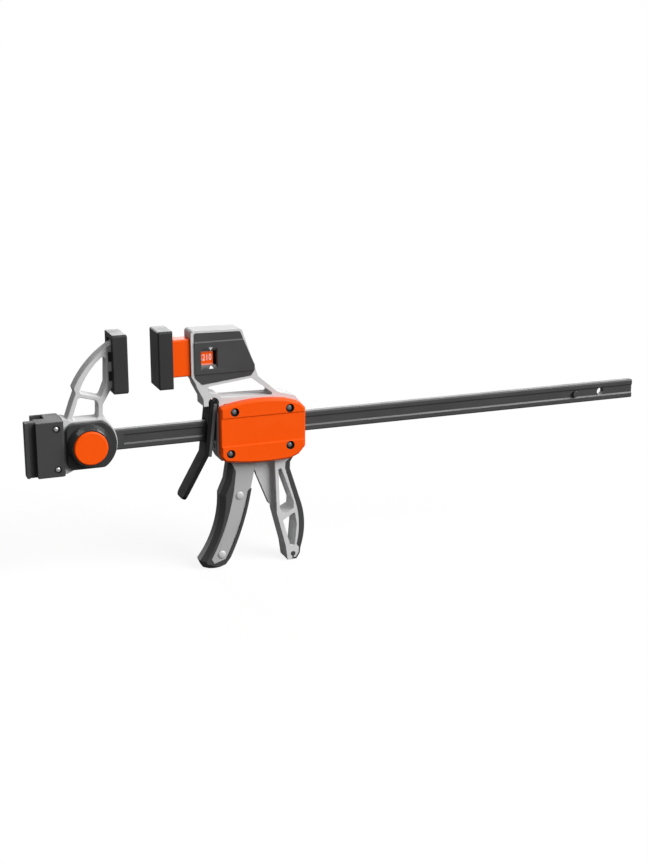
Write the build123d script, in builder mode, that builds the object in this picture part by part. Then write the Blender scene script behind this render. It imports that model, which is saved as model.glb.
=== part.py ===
from build123d import *
from math import cos, pi, radians, sin, sqrt, tan
import os

os.makedirs("parts", exist_ok=True)

# One-handed bar clamp. Lengths in millimetres, +X along the bar towards its free end,
# -Y the side with the button, +Z up from the bench that the two handles stand on.

# Stance and fits
axis_height = 134.5
running_clearance = 0.3
seat_clearance = 0.1
pin_clearance = 0.05
overrun = 6.0
shank_sides = 8
sleeve_sides = 16

# Bar
bar_length = 598.0
bar_height = 19.05
bar_thickness = 8.0
bar_edge = 1.2
groove_height = 9.6
groove_floor = 6.8
groove_depth = 0.9
groove_start = 64.0
lock_hole_inset = 30.0
hang_hole_inset = 37.0
bar_hole_radius = 3.7
stop_pin_inset = 66.8
stop_pin_radius = 3.0
stop_pin_proud = 2.0

# Fixed jaw
seat_reach = 27.0
jaw_rise = 91.0
seat_low = 53.0
truss_half = 7.25
cast_round = 1.2
window_round = 2.5
truss_round_share = 0.0926
head_radius = 27.0
head_half_height = 22.5
head_half = 9.0
coupling_face = 22.0
flange_thickness = 2.5
flare_length = 6.0
tongue_length = 11.0
tongue_half = 7.0
tongue_half_height = 22.3
clip_height = 8.6
clip_length = 3.4
clip_inset = 1.8
clip_depth = 1.6
clip_proud = 0.8
upper_clip_rise = 78.0
lower_clip_rise = 60.4
strut_shares = ((-0.725, 0.198), (-0.465, 0.416), (-0.330, 0.516), (-0.385, 0.566))
crown_share = (0.096, 0.782)
waist_shares = ((0.826, 0.511), (0.574, 0.382), (0.567, 0.295), (0.759, 0.176))
upper_window_shares = (
    (0.630, 0.868), (0.733, 0.835), (0.700, 0.593), (0.511, 0.459), (-0.200, 0.522))
upper_bow_share = (0.119, 0.705)
lower_window_shares = (
    (-0.222, 0.478), (0.352, 0.430), (0.411, 0.389), (0.393, 0.251), (-0.474, 0.251))

# Jaw pads
pad_thickness = 13.5
pad_wrap = 2.5
pad_width = 31.0
pad_low = 44.8
pad_top = 98.4
pad_round = 2.2
pad_hollow_depth = 5.0
pad_wall = 3.0

# Lock button, housing and yoke
bezel_thickness = 4.8
bezel_radius = 25.7
bezel_half_height = 21.5
bezel_left = 20.2
bezel_corner = 8.0
boss_base_radius = 19.7
boss_front_radius = 16.6
boss_height = 9.0
cap_boss_height = 4.6
cap_boss_radius = 18.2
cap_wall = 1.4
button_radius = 15.35
button_proud = 1.2
button_edge = 1.0
button_wall = 3.0
button_cup_radius = 10.4
button_flange_radius = 17.0
button_flange = 1.8
button_travel = 4.5
flange_room = 4.0
yoke_leg = 3.5
yoke_leg_width = 8.0
yoke_leg_gap = 1.7
yoke_plate = 2.5
yoke_plate_width = 12.0
lock_pin_radius = 3.5
lock_pin_past_axis = 0.9

# Coupling block
block_length = 24.7
block_half_width = 16.2
block_half_height = 25.3
block_round = 2.6
hook_length = 9.0
hook_near = 2.6
hook_far = 10.5
hook_lip = 1.9
hook_lip_length = 3.0
slot_near = 0.6
slot_far = 11.6
slot_depth = 10.2
coupling_screw_inset = 6.9
coupling_screw_rise = 18.6
coupling_screw_radius = 2.0
coupling_head_radius = 3.0
coupling_head_tip = 2.0
coupling_head = 1.4
coupling_recess = 1.6
coupling_screw_wall = 3.0

# Moving jaw casting
opening_at_rest = 27.5
plunger_exposed = 18.0
body_length = 107.5
body_half = 10.7
box_rise = 96.0
wall_front_share = 0.2195
front_wall = 6.4
rear_wall = 6.5
frame_top = 26.0
frame_floor = 22.0
lip_length = 8.0
lip_drop = 28.3
box_corner = 3.2
box_shares = ((0.448, 0.990), (0.588, 0.518), (0.767, 0.340), (0.921, 0.292))
rear_rise = 18.0
rear_drop = 20.0
rear_corner_shares = ((0.935, -0.208), (0.877, -0.236))
leg_shares = ((0.102, 0.262), (0.100, 0.332), (0.045, 0.454), (0.035, 0.491), (0.0, 0.557))
opening_shares = (
    (0.140, 0.453), (0.525, 0.504), (0.745, 0.318), (0.262, 0.330), (0.238, 0.366), (0.152, 0.394))
opening_round = 1.6
handle_back_shares = ((0.832, -0.268), (0.827, -0.312), (0.925, -0.572))
handle_back_bow_shares = ((0.954, -0.725), (0.931, -0.888))
foot_shares = ((0.954, -0.914), (0.949, -0.952), (0.924, -0.982), (0.888, -0.988), (0.888, -1.0))
handle_front_shares = ((0.848, -1.0), (0.828, -0.887), (0.791, -0.771), (0.749, -0.640), (0.733, -0.232))
upper_handle_shares = (
    (0.765, -0.317), (0.793, -0.305), (0.908, -0.568), (0.906, -0.616), (0.812, -0.654), (0.776, -0.595))
lower_handle_shares = (
    (0.918, -0.644), (0.935, -0.735), (0.916, -0.893), (0.872, -0.893), (0.805, -0.697))
gusset_shares = (
    (0.530, -0.230), (0.571, -0.321), (0.700, -0.580), (0.763, -0.625), (0.763, -0.190), (0.733, -0.190))
gusset_half = 3.7
post_radius = 4.6
keyhole_radius = 2.4
keyhole_slot = 1.6
keyhole_share = (0.898, -0.956)

# Gauge box, plunger and panels
plunger_half = 8.5
plunger_low = 54.0
plunger_top = 88.5
plunger_inside = 21.0
plunger_round = 1.5
plunger_travel = 9.0
gauge_depth_share = 0.428
gauge_mouth = 6.5
gauge_margin = 2.6
rod_radius = 3.5
rod_seat = 5.0
rod_length = 38.0
rod_room = 1.0
panel_rabbet = 1.5
panel_base = 1.9
panel_raise = 0.8
panel_crest = 86.0
panel_crease = 55.0
panel_shares = (
    (0.027, 0.979), (0.432, 0.969), (0.558, 0.632), (0.555, 0.575), (0.526, 0.530), (0.091, 0.478),
    (0.028, 0.549))
panel_corner = 2.0
sight_left = 8.7
sight_right = 24.5
sight_low = 60.3
sight_top = 80.5
sight_side_bevel = 0.9
sight_end_bevel = 3.4
sight_bevel_depth = 1.7

# Covers
cover_thickness = 8.0
cover_wall = 2.5
cover_rise = 29.0
cover_drop = 31.3
cover_corner = 2.6
cover_edge = 1.9
cover_band = 0.8
band_top = 13.3
band_low = 12.8
cover_top_shares = ((0.225, 0.828), (0.530, 1.0), (0.828, 0.934), (0.940, 0.803), (0.997, 0.603))
cover_low_shares = (
    (0.997, -0.629), (0.935, -0.869), (0.856, -0.981), (0.560, -1.0), (0.262, -0.885), (0.225, -0.725))
cover_screw_shares = ((0.353, 0.659), (0.852, 0.631), (0.313, -0.703), (0.854, -0.607))
cover_screw_radius = 1.85
cover_screw_head = 3.5
cover_screw_tip = 2.2
cover_screw_head_height = 2.2
cover_screw_length = 11.0
cover_recess_radius = 4.1
cover_recess_depth = 4.2
cover_boss_radius = 6.0

# Release lever and brake plate
lever_pivot_share = 0.1888
lever_pivot_rise = 28.0
lever_tilt = 7.0
lever_thickness = 3.7
lever_half = 10.4
lever_head = 1.5
lever_drop = 50.5
lever_bend = 22.7
lever_arm = 46.0
lever_tip_round = 5.0
brake_thickness = 3.0
brake_top_drop = 1.2
brake_drop = 51.5
notch_radius = 5.0

# Trigger and handle grips
trigger_pivot_share = 0.5163
trigger_pivot_rise = 19.0
trigger_head_radius = 6.4
trigger_half = 8.6
trigger_slot_half = 5.2
trigger_web = 3.0
trigger_web_top = 14.0
trigger_pin_radius = 3.0
lug_inner = 8.9
lug_radius = 7.5
nose_drop = 8.0
nose_reach = 8.7
neck_shares = ((0.430, 0.060), (0.375, -0.170))
trigger_left_shares = ((0.345, -0.240), (0.379, -0.298))
trigger_left_bow_shares = ((0.310, -0.613), (0.144, -0.929))
trigger_toe_shares = ((0.171, -0.964), (0.277, -0.938), (0.292, -0.917))
trigger_inner_bow_shares = ((0.424, -0.662), (0.494, -0.449))
trigger_right_shares = ((0.517, -0.436), (0.542, -0.341), (0.562, -0.259), (0.570, -0.110))
nose_back_shares = ((0.575, 0.010), (0.583, 0.100))
grip_half = 9.6
grip_top_shares = ((0.322, -0.245), (0.296, -0.364), (0.243, -0.461))
grip_bow_shares = ((0.218, -0.651), (0.048, -0.935))
grip_toe_shares = ((0.075, -0.985), (0.127, -1.0), (0.170, -1.0), (0.272, -0.974), (0.317, -0.930))
grip_strip_bow_shares = ((0.463, -0.631), (0.520, -0.436))
grip_crest_share = (0.375, -0.236)
grip_round = 4.5
channel_shares = ((0.474, -0.416), (0.651, -0.416), (0.651, -0.885), (0.288, -0.885))
rivet_shares = ((0.413, -0.480), (0.240, -0.900))
rivet_radius = 2.0
rivet_head_radius = 3.8
rivet_head_tip = 2.6
rivet_head = 1.2
handle_grip_shares = ((0.916, -0.219), (0.876, -0.268), (0.873, -0.317), (0.979, -0.587))
handle_grip_bow_shares = ((1.005, -0.735), (0.975, -0.897))
handle_tail_shares = ((0.969, -0.914), (0.962, -0.957), (0.930, -0.997), (0.889, -0.997))
handle_grip_inner_shares = ((0.889, -0.950), (0.850, -0.600), (0.800, -0.317), (0.800, -0.230))
bead_neck = 1.4
bead_radius = 2.3

# Drive plate and springs
drive_thickness = 4.0
drive_half = 8.4
drive_drop = 15.0
drive_rise = 16.0
drive_spring_radius = 11.3
drive_wire = 1.4
force_spring_radius = 6.2
force_wire = 2.6
lock_spring_radius = 7.6
lock_wire = 1.2
brake_spring_radius = 3.4
brake_wire = 1.0
brake_turns = 2.0
brake_spring_drop = 16.0
brake_pocket_depth = 4.0


def spread(shares, width, height):
    """Places of an outline, from shares of a width and a height."""
    return [(x * width, y * height) for x, y in shares]


def tapered(base, tip, height, side):
    """Round taper that stands on a plane's front, or for a side of -1 on its back."""
    if side > 0:
        Cone(base, tip, height, align=(Align.CENTER, Align.CENTER, Align.MIN))
    else:
        Cone(tip, base, height, align=(Align.CENTER, Align.CENTER, Align.MAX))


def coil_points(plane, radius, pitch, turns, steps):
    """Places and directions along a coil that rises on the normal of a plane."""
    places = []
    for step in range(steps + 1):
        turn = 2 * pi * turns * step / steps
        climb = pitch * turn / (2 * pi)
        place = plane.from_local_coords(Vector(radius * cos(turn), radius * sin(turn), climb))
        run = plane.from_local_coords(Vector(-radius * sin(turn), radius * cos(turn), pitch / (2 * pi)))
        places.append((place, (run - plane.origin).normalized()))
    return places


def biarc(start, start_run, end, end_run):
    """Meeting place of the two arcs that join two places along their directions."""
    chord = end - start
    both = start_run + end_run
    bend = 2 * (1 - start_run.dot(end_run))
    reach = (sqrt(chord.dot(both) ** 2 + bend * chord.dot(chord)) - chord.dot(both)) / bend
    return (start + end + (start_run - end_run) * reach) * 0.5


def run_after(start, start_run, end):
    """Direction of an arc at its end, from its start and its direction there."""
    chord = (end - start).normalized()
    return chord * (2 * chord.dot(start_run)) - start_run


def least_gap(name, plane, radius, pitch, turns, wire):
    """Print the least room between neighbouring turns of a coil."""
    per_turn = 48
    places = [p for p, run in coil_points(plane, radius, pitch, turns, int(per_turn * turns))]
    nearest = min(
        (a - b).length for i, a in enumerate(places) for b in places[i + per_turn // 2:])
    print(name, "least gap", round(nearest - wire, 2))


# Places that the pieces share
coupling_reach = coupling_face + block_length + hook_length
bar_reach = bar_length - lock_hole_inset
lock_x = (coupling_reach - bar_reach) / 2
fixed_face = seat_reach - pad_wrap + pad_thickness
box_x = lock_x + fixed_face + opening_at_rest + pad_thickness + plunger_exposed
lock_plane = Plane(origin=(lock_x, 0, axis_height), x_dir=(1, 0, 0), z_dir=(0, -1, 0))
jaw_plane = Plane(origin=(box_x, 0, axis_height), x_dir=(1, 0, 0), z_dir=(0, -1, 0))
bar_plane = Plane(origin=(lock_x - lock_hole_inset, 0, axis_height), x_dir=(0, 1, 0), z_dir=(1, 0, 0))
jaw_end_plane = Plane(origin=(box_x, 0, axis_height), x_dir=(0, 1, 0), z_dir=(1, 0, 0))
button_front = head_half + bezel_thickness + boss_height + button_proud
button_back = head_half + flange_room - running_clearance - button_flange
lock_floor = button_back - button_travel - running_clearance
wall_front = wall_front_share * body_length
gauge_depth = gauge_depth_share * body_length
lever_pivot_x = lever_pivot_share * body_length
trigger_pivot_x = trigger_pivot_share * body_length
bar_half = bar_thickness / 2
bar_half_height = bar_height / 2
groove_half = bar_half - groove_depth
tunnel_width = bar_thickness + 2 * running_clearance
tunnel_height = bar_height + 2 * running_clearance

# Bar, a flat rolled section with a shallow hollow along each side
with BuildPart() as bar:
    with BuildSketch(bar_plane) as bar_section:
        Rectangle(bar_thickness, bar_height)
        chamfer(bar_section.vertices(), bar_edge)
    extrude(amount=bar_length)
    with BuildSketch(bar_plane.offset(groove_start)):
        for side in (-1, 1):
            with BuildLine():
                Polyline(
                    (side * bar_half, -groove_height / 2), (side * groove_half, -groove_floor / 2),
                    (side * groove_half, groove_floor / 2), (side * bar_half, groove_height / 2), close=True)
            make_face()
    extrude(amount=bar_length, mode=Mode.SUBTRACT)
    with BuildSketch(lock_plane):
        with Locations((0, 0), (bar_reach - hang_hole_inset, 0)):
            Circle(bar_hole_radius)
        with Locations((bar_reach - stop_pin_inset, 0)):
            Circle(stop_pin_radius + pin_clearance)
    extrude(amount=bar_thickness, both=True, mode=Mode.SUBTRACT)
bar.part.label = "bar"
export_step(bar.part, "parts/bar.step")

# Stop pin that keeps the moving jaw on the bar
with BuildPart() as stop_pin:
    with BuildSketch(lock_plane):
        with Locations((bar_reach - stop_pin_inset, 0)):
            Circle(stop_pin_radius)
    extrude(amount=bar_half + stop_pin_proud, both=True)
stop_pin.part.label = "stop_pin"
export_step(stop_pin.part, "parts/stop_pin.step")

# Fixed jaw, an open truss over a round head that the bar is locked in
strut = spread(strut_shares, seat_reach, jaw_rise)
crown = (crown_share[0] * seat_reach, crown_share[1] * jaw_rise)
waist = spread(waist_shares, seat_reach, jaw_rise)
nose_top = (seat_reach, jaw_rise)
nose_low = (seat_reach, seat_low)
upper_window = spread(upper_window_shares, seat_reach, jaw_rise)
upper_bow = (upper_bow_share[0] * seat_reach, upper_bow_share[1] * jaw_rise)
lower_window = spread(lower_window_shares, seat_reach, jaw_rise)
truss_round = min(window_round, truss_round_share * seat_reach)
head_flat = sqrt(head_radius ** 2 - head_half_height ** 2)
flange_left = -coupling_face
flange_right = flange_left + flange_thickness
flare_right = flange_right + flare_length
leg_low = bar_half_height + yoke_leg_gap
leg_rise = leg_low + yoke_leg / 2
clip_rises = (upper_clip_rise, lower_clip_rise)
clip_middle = seat_reach - clip_inset - clip_length / 2
with BuildPart() as fixed_jaw:
    with BuildSketch(lock_plane):
        with BuildLine():
            Polyline(*strut)
            ThreePointArc(strut[-1], crown, nose_top)
            Polyline(nose_top, nose_low, *waist, strut[0])
        make_face()
    extrude(amount=truss_half, both=True)
    with BuildSketch(lock_plane) as upper_cut:
        with BuildLine():
            Polyline(*upper_window)
            ThreePointArc(upper_window[-1], upper_bow, upper_window[0])
        make_face()
        fillet(upper_cut.vertices(), truss_round)
    extrude(amount=truss_half, both=True, mode=Mode.SUBTRACT)
    with BuildSketch(lock_plane) as lower_cut:
        with BuildLine():
            Polyline(*lower_window, close=True)
        make_face()
        fillet(lower_cut.vertices(), truss_round)
    extrude(amount=truss_half, both=True, mode=Mode.SUBTRACT)
    rims = fixed_jaw.faces().sort_by(Axis.Y)[0].edges() + fixed_jaw.faces().sort_by(Axis.Y)[-1].edges()
    chamfer(rims, cast_round / 2)
    with BuildSketch(lock_plane):
        with BuildLine():
            Polyline(
                (head_flat, head_half_height), (flare_right, head_half_height),
                (flange_right, block_half_height), (flange_left, block_half_height),
                (flange_left, -block_half_height), (flange_right, -block_half_height),
                (flare_right, -head_half_height), (head_flat, -head_half_height))
            ThreePointArc((head_flat, -head_half_height), (head_radius, 0), (head_flat, head_half_height))
        make_face()
    extrude(amount=head_half, both=True)
    with BuildSketch(lock_plane):
        with Locations((flange_left - tongue_length / 2, 0)):
            Rectangle(tongue_length, 2 * tongue_half_height)
    extrude(amount=tongue_half, both=True)
    with BuildSketch(bar_plane.offset(-seat_clearance)):
        Rectangle(bar_thickness + 2 * seat_clearance, bar_height + 2 * seat_clearance)
    extrude(amount=lock_hole_inset + head_radius + overrun, mode=Mode.SUBTRACT)
    with BuildSketch(lock_plane.offset(lock_floor)):
        Circle(button_flange_radius + running_clearance)
    extrude(amount=head_half - lock_floor + overrun, mode=Mode.SUBTRACT)
    with BuildSketch(lock_plane):
        with Locations((0, leg_rise), (0, -leg_rise)):
            Rectangle(yoke_leg_width + 2 * running_clearance, yoke_leg + 2 * running_clearance)
        with Locations(*[(flange_left - coupling_screw_inset, s * coupling_screw_rise) for s in (1, -1)]):
            RegularPolygon(coupling_screw_radius + pin_clearance, shank_sides)
    extrude(amount=head_half + overrun, both=True, mode=Mode.SUBTRACT)
    with BuildSketch(lock_plane):
        Circle(lock_pin_radius + pin_clearance)
    extrude(amount=-head_half - overrun, mode=Mode.SUBTRACT)
    for side in (1, -1):
        with BuildSketch(lock_plane.offset(side * truss_half)):
            with Locations(*[(clip_middle, rise) for rise in clip_rises]):
                Rectangle(clip_length + 2 * seat_clearance, clip_height + 2 * seat_clearance)
        extrude(amount=-side * clip_depth, mode=Mode.SUBTRACT)
fixed_jaw.part.label = "fixed_jaw"
export_step(fixed_jaw.part, "parts/fixed_jaw.step")

# Fixed jaw pad, a cap with two clips on each side of the jaw's nose
pad_height = pad_top - pad_low
pad_middle = (pad_top + pad_low) / 2
pad_back = seat_reach - pad_wrap
pad_nose_half = truss_half + seat_clearance
pad_side = pad_width / 2
pad_block = truss_half + pad_wall
pad_plane = Plane(origin=lock_plane.origin + (pad_back, 0, pad_middle), x_dir=(0, 1, 0), z_dir=(1, 0, 0))
with BuildPart() as fixed_jaw_pad:
    with BuildSketch(pad_plane):
        Rectangle(pad_width, pad_height)
    extrude(amount=pad_thickness)
    fillet(fixed_jaw_pad.edges().filter_by(Axis.X), pad_round)
    chamfer(fixed_jaw_pad.faces().sort_by(Axis.X)[-1].edges(), pad_round / 2)
    with BuildSketch(pad_plane):
        with Locations((0, (waist[0][1] + jaw_rise + pad_wrap) / 2 - pad_middle)):
            Rectangle(2 * pad_nose_half, jaw_rise + pad_wrap - waist[0][1])
    extrude(amount=pad_wrap, mode=Mode.SUBTRACT)
    with BuildSketch(pad_plane):
        with Locations(*[(s * (pad_block + pad_side - pad_wall) / 2, 0) for s in (1, -1)]):
            Rectangle(pad_side - pad_wall - pad_block, pad_height - 2 * pad_wall)
    extrude(amount=pad_hollow_depth, mode=Mode.SUBTRACT)
    for side in (1, -1):
        with BuildSketch(lock_plane.offset(side * (truss_half - clip_depth + seat_clearance))):
            with Locations(*[(clip_middle, rise) for rise in clip_rises]):
                Rectangle(clip_length, clip_height)
        extrude(amount=side * (clip_depth + clip_proud - seat_clearance))
        with BuildSketch(lock_plane.offset(side * pad_nose_half)):
            with Locations(*[(pad_back, rise) for rise in clip_rises]):
                Rectangle(clip_length, clip_height)
        extrude(amount=side * (clip_proud - seat_clearance))
fixed_jaw_pad.part.label = "fixed_jaw_pad"
export_step(fixed_jaw_pad.part, "parts/fixed_jaw_pad.step")

# Lock housing on the front of the head, a plate with a tapered boss round the button
bezel_flat = sqrt(bezel_radius ** 2 - bezel_half_height ** 2)
with BuildSketch(lock_plane.offset(head_half)) as bezel_outline:
    with BuildLine():
        Polyline(
            (bezel_flat, bezel_half_height), (-bezel_left, bezel_half_height),
            (-bezel_left, -bezel_half_height), (bezel_flat, -bezel_half_height))
        ThreePointArc((bezel_flat, -bezel_half_height), (bezel_radius, 0), (bezel_flat, bezel_half_height))
    make_face()
    fillet(bezel_outline.vertices(), bezel_corner)
with BuildPart() as lock_housing:
    extrude(bezel_outline.sketch, amount=bezel_thickness)
    chamfer(lock_housing.faces().sort_by(Axis.Y)[0].edges(), cast_round)
    with Locations(lock_plane.offset(head_half + bezel_thickness)):
        tapered(boss_base_radius, boss_front_radius, boss_height, 1)
    with BuildSketch(lock_plane.offset(head_half)):
        Circle(button_flange_radius + running_clearance)
    extrude(amount=flange_room, mode=Mode.SUBTRACT)
    with BuildSketch(lock_plane.offset(head_half)):
        Circle(button_radius + running_clearance / 2)
    extrude(amount=bezel_thickness + boss_height + overrun, mode=Mode.SUBTRACT)
lock_housing.part.label = "lock_housing"
export_step(lock_housing.part, "parts/lock_housing.step")

# Lock button, a cup with a flange under the housing's shoulder
with BuildPart() as lock_button:
    with BuildSketch(lock_plane.offset(button_back)):
        Circle(button_radius)
    extrude(amount=button_front - button_back)
    chamfer(lock_button.faces().sort_by(Axis.Y)[0].edges(), button_edge)
    with BuildSketch(lock_plane.offset(button_back)):
        Circle(button_flange_radius)
    extrude(amount=button_flange)
    with BuildSketch(lock_plane.offset(button_back)):
        Circle(button_cup_radius)
    extrude(amount=button_front - button_back - button_wall, mode=Mode.SUBTRACT)
lock_button.part.label = "lock_button"
export_step(lock_button.part, "parts/lock_button.step")

# Lock yoke: two legs past the bar, a rear plate and the pin in the bar's hole
yoke_front = head_half + running_clearance
with BuildPart() as lock_yoke:
    with BuildSketch(lock_plane.offset(-yoke_front)):
        Rectangle(yoke_plate_width, 2 * (leg_low + yoke_leg))
    extrude(amount=-yoke_plate)
    with BuildSketch(lock_plane.offset(-yoke_front)):
        with Locations((0, leg_rise), (0, -leg_rise)):
            Rectangle(yoke_leg_width, yoke_leg)
    extrude(amount=yoke_front + button_back)
    with BuildSketch(lock_plane.offset(-yoke_front)):
        Circle(lock_pin_radius)
    extrude(amount=yoke_front + lock_pin_past_axis)
lock_yoke.part.label = "lock_yoke"
export_step(lock_yoke.part, "parts/lock_yoke.step")

# Rear lock cap, with room for the yoke's travel
with BuildPart() as lock_cap:
    mirror(extrude(bezel_outline.sketch, amount=bezel_thickness, mode=Mode.PRIVATE), about=Plane.XZ)
    chamfer(lock_cap.faces().sort_by(Axis.Y)[-1].edges(), cast_round)
    with Locations(lock_plane.offset(-head_half - bezel_thickness)):
        tapered(boss_base_radius, cap_boss_radius, cap_boss_height, -1)
    with BuildSketch(lock_plane.offset(-head_half)):
        Circle(cap_boss_radius - cap_wall)
    extrude(amount=cap_wall - bezel_thickness - cap_boss_height, mode=Mode.SUBTRACT)
lock_cap.part.label = "lock_cap"
export_step(lock_cap.part, "parts/lock_cap.step")

# Coupling block, with a hook arm and a slot for the hook of a second clamp
block_plane = Plane(
    origin=(lock_x - coupling_face, 0, axis_height - block_half_height), x_dir=(1, 0, 0), z_dir=(0, 0, 1))
hook_tip = -block_length - hook_length
screw_places = [(-coupling_screw_inset - coupling_face, s * coupling_screw_rise) for s in (1, -1)]
with BuildPart() as coupling_block:
    with BuildSketch(block_plane) as block_outline:
        with BuildLine():
            Polyline(
                (0, -block_half_width), (0, block_half_width), (-block_length, block_half_width),
                (-block_length, slot_far), (hook_lip_length - block_length + running_clearance, slot_far),
                (hook_lip_length - block_length + running_clearance, slot_far + hook_lip),
                (slot_depth - block_length, slot_far + hook_lip), (slot_depth - block_length, slot_near),
                (-block_length, slot_near), (-block_length, -hook_near), (hook_tip, -hook_near),
                (hook_tip, -hook_far - hook_lip), (hook_tip + hook_lip_length, -hook_far - hook_lip),
                (hook_tip + hook_lip_length, -hook_far), (-block_length, -hook_far),
                (-block_length, -block_half_width), close=True)
        make_face()
        fillet(block_outline.vertices().group_by(Axis.X)[-1], block_round)
    extrude(amount=2 * block_half_height)
    chamfer(coupling_block.faces().sort_by(Axis.Z)[-1].edges(), cast_round / 2)
    chamfer(coupling_block.faces().sort_by(Axis.Z)[0].edges(), cast_round / 2)
    with BuildSketch(lock_plane):
        with Locations((-coupling_face - tongue_length / 2, 0)):
            Rectangle(tongue_length + 2 * seat_clearance, 2 * (tongue_half_height + seat_clearance))
    extrude(amount=tongue_half + seat_clearance, both=True, mode=Mode.SUBTRACT)
    with BuildSketch(lock_plane.offset(block_half_width - coupling_recess)):
        with Locations(*screw_places):
            Circle(coupling_head_radius + running_clearance)
    extrude(amount=coupling_recess, mode=Mode.SUBTRACT)
    with BuildSketch(lock_plane.offset(coupling_screw_wall - block_half_width)):
        with Locations(*screw_places):
            RegularPolygon(coupling_screw_radius + pin_clearance, shank_sides)
    extrude(amount=2 * block_half_width - coupling_screw_wall, mode=Mode.SUBTRACT)
coupling_block.part.label = "coupling_block"
export_step(coupling_block.part, "parts/coupling_block.step")

# Coupling screws, through the block and the jaw's tongue
with BuildPart() as coupling_screws:
    with Locations(lock_plane.offset(block_half_width - coupling_recess)):
        with Locations(*screw_places):
            tapered(coupling_head_radius, coupling_head_tip, coupling_head, 1)
    with BuildSketch(lock_plane.offset(coupling_screw_wall + seat_clearance - block_half_width)):
        with Locations(*screw_places):
            RegularPolygon(coupling_screw_radius, shank_sides)
    extrude(amount=2 * block_half_width - coupling_screw_wall - coupling_recess - seat_clearance)
coupling_screws.part.label = "coupling_screws"
export_step(coupling_screws.part, "parts/coupling_screws.step")

# Moving jaw casting: gauge box, two legs, mechanism frame and fixed handle
handle_back = spread(handle_back_shares, body_length, axis_height)
handle_bow = spread(handle_back_bow_shares, body_length, axis_height)
foot = spread(foot_shares, body_length, axis_height)
handle_front = spread(handle_front_shares, body_length, axis_height)
cavity_left = wall_front + front_wall
cavity_right = body_length - rear_wall
cover_screw_places = spread(cover_screw_shares, body_length, cover_rise)
trigger_pivot = (trigger_pivot_x, trigger_pivot_rise)
keyhole = (keyhole_share[0] * body_length, keyhole_share[1] * axis_height)
plunger_height = plunger_top - plunger_low
plunger_middle = (plunger_top + plunger_low) / 2
with BuildSketch(jaw_plane) as casting_outline:
    with BuildLine():
        Polyline(
            (0, box_rise), *spread(box_shares, body_length, box_rise), (body_length, rear_rise),
            (body_length, -rear_drop), *spread(rear_corner_shares, body_length, axis_height), *handle_back)
        ThreePointArc(handle_back[-1], *handle_bow)
        Polyline(
            handle_bow[-1], *foot, *handle_front, (cavity_left + lip_length, -lip_drop),
            (cavity_left - front_wall / 2, -lip_drop), (wall_front, -frame_floor),
            (wall_front, leg_shares[0][1] * box_rise), *spread(leg_shares, body_length, box_rise),
            (0, box_rise))
    make_face()
    fillet(casting_outline.vertices().filter_by(lambda corner: corner.Y > box_rise / 2), box_corner)
with BuildSketch(jaw_plane) as panel_outline:
    with BuildLine():
        Polyline(*spread(panel_shares, body_length, box_rise), close=True)
    make_face()
    fillet(panel_outline.vertices(), panel_corner)
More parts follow.
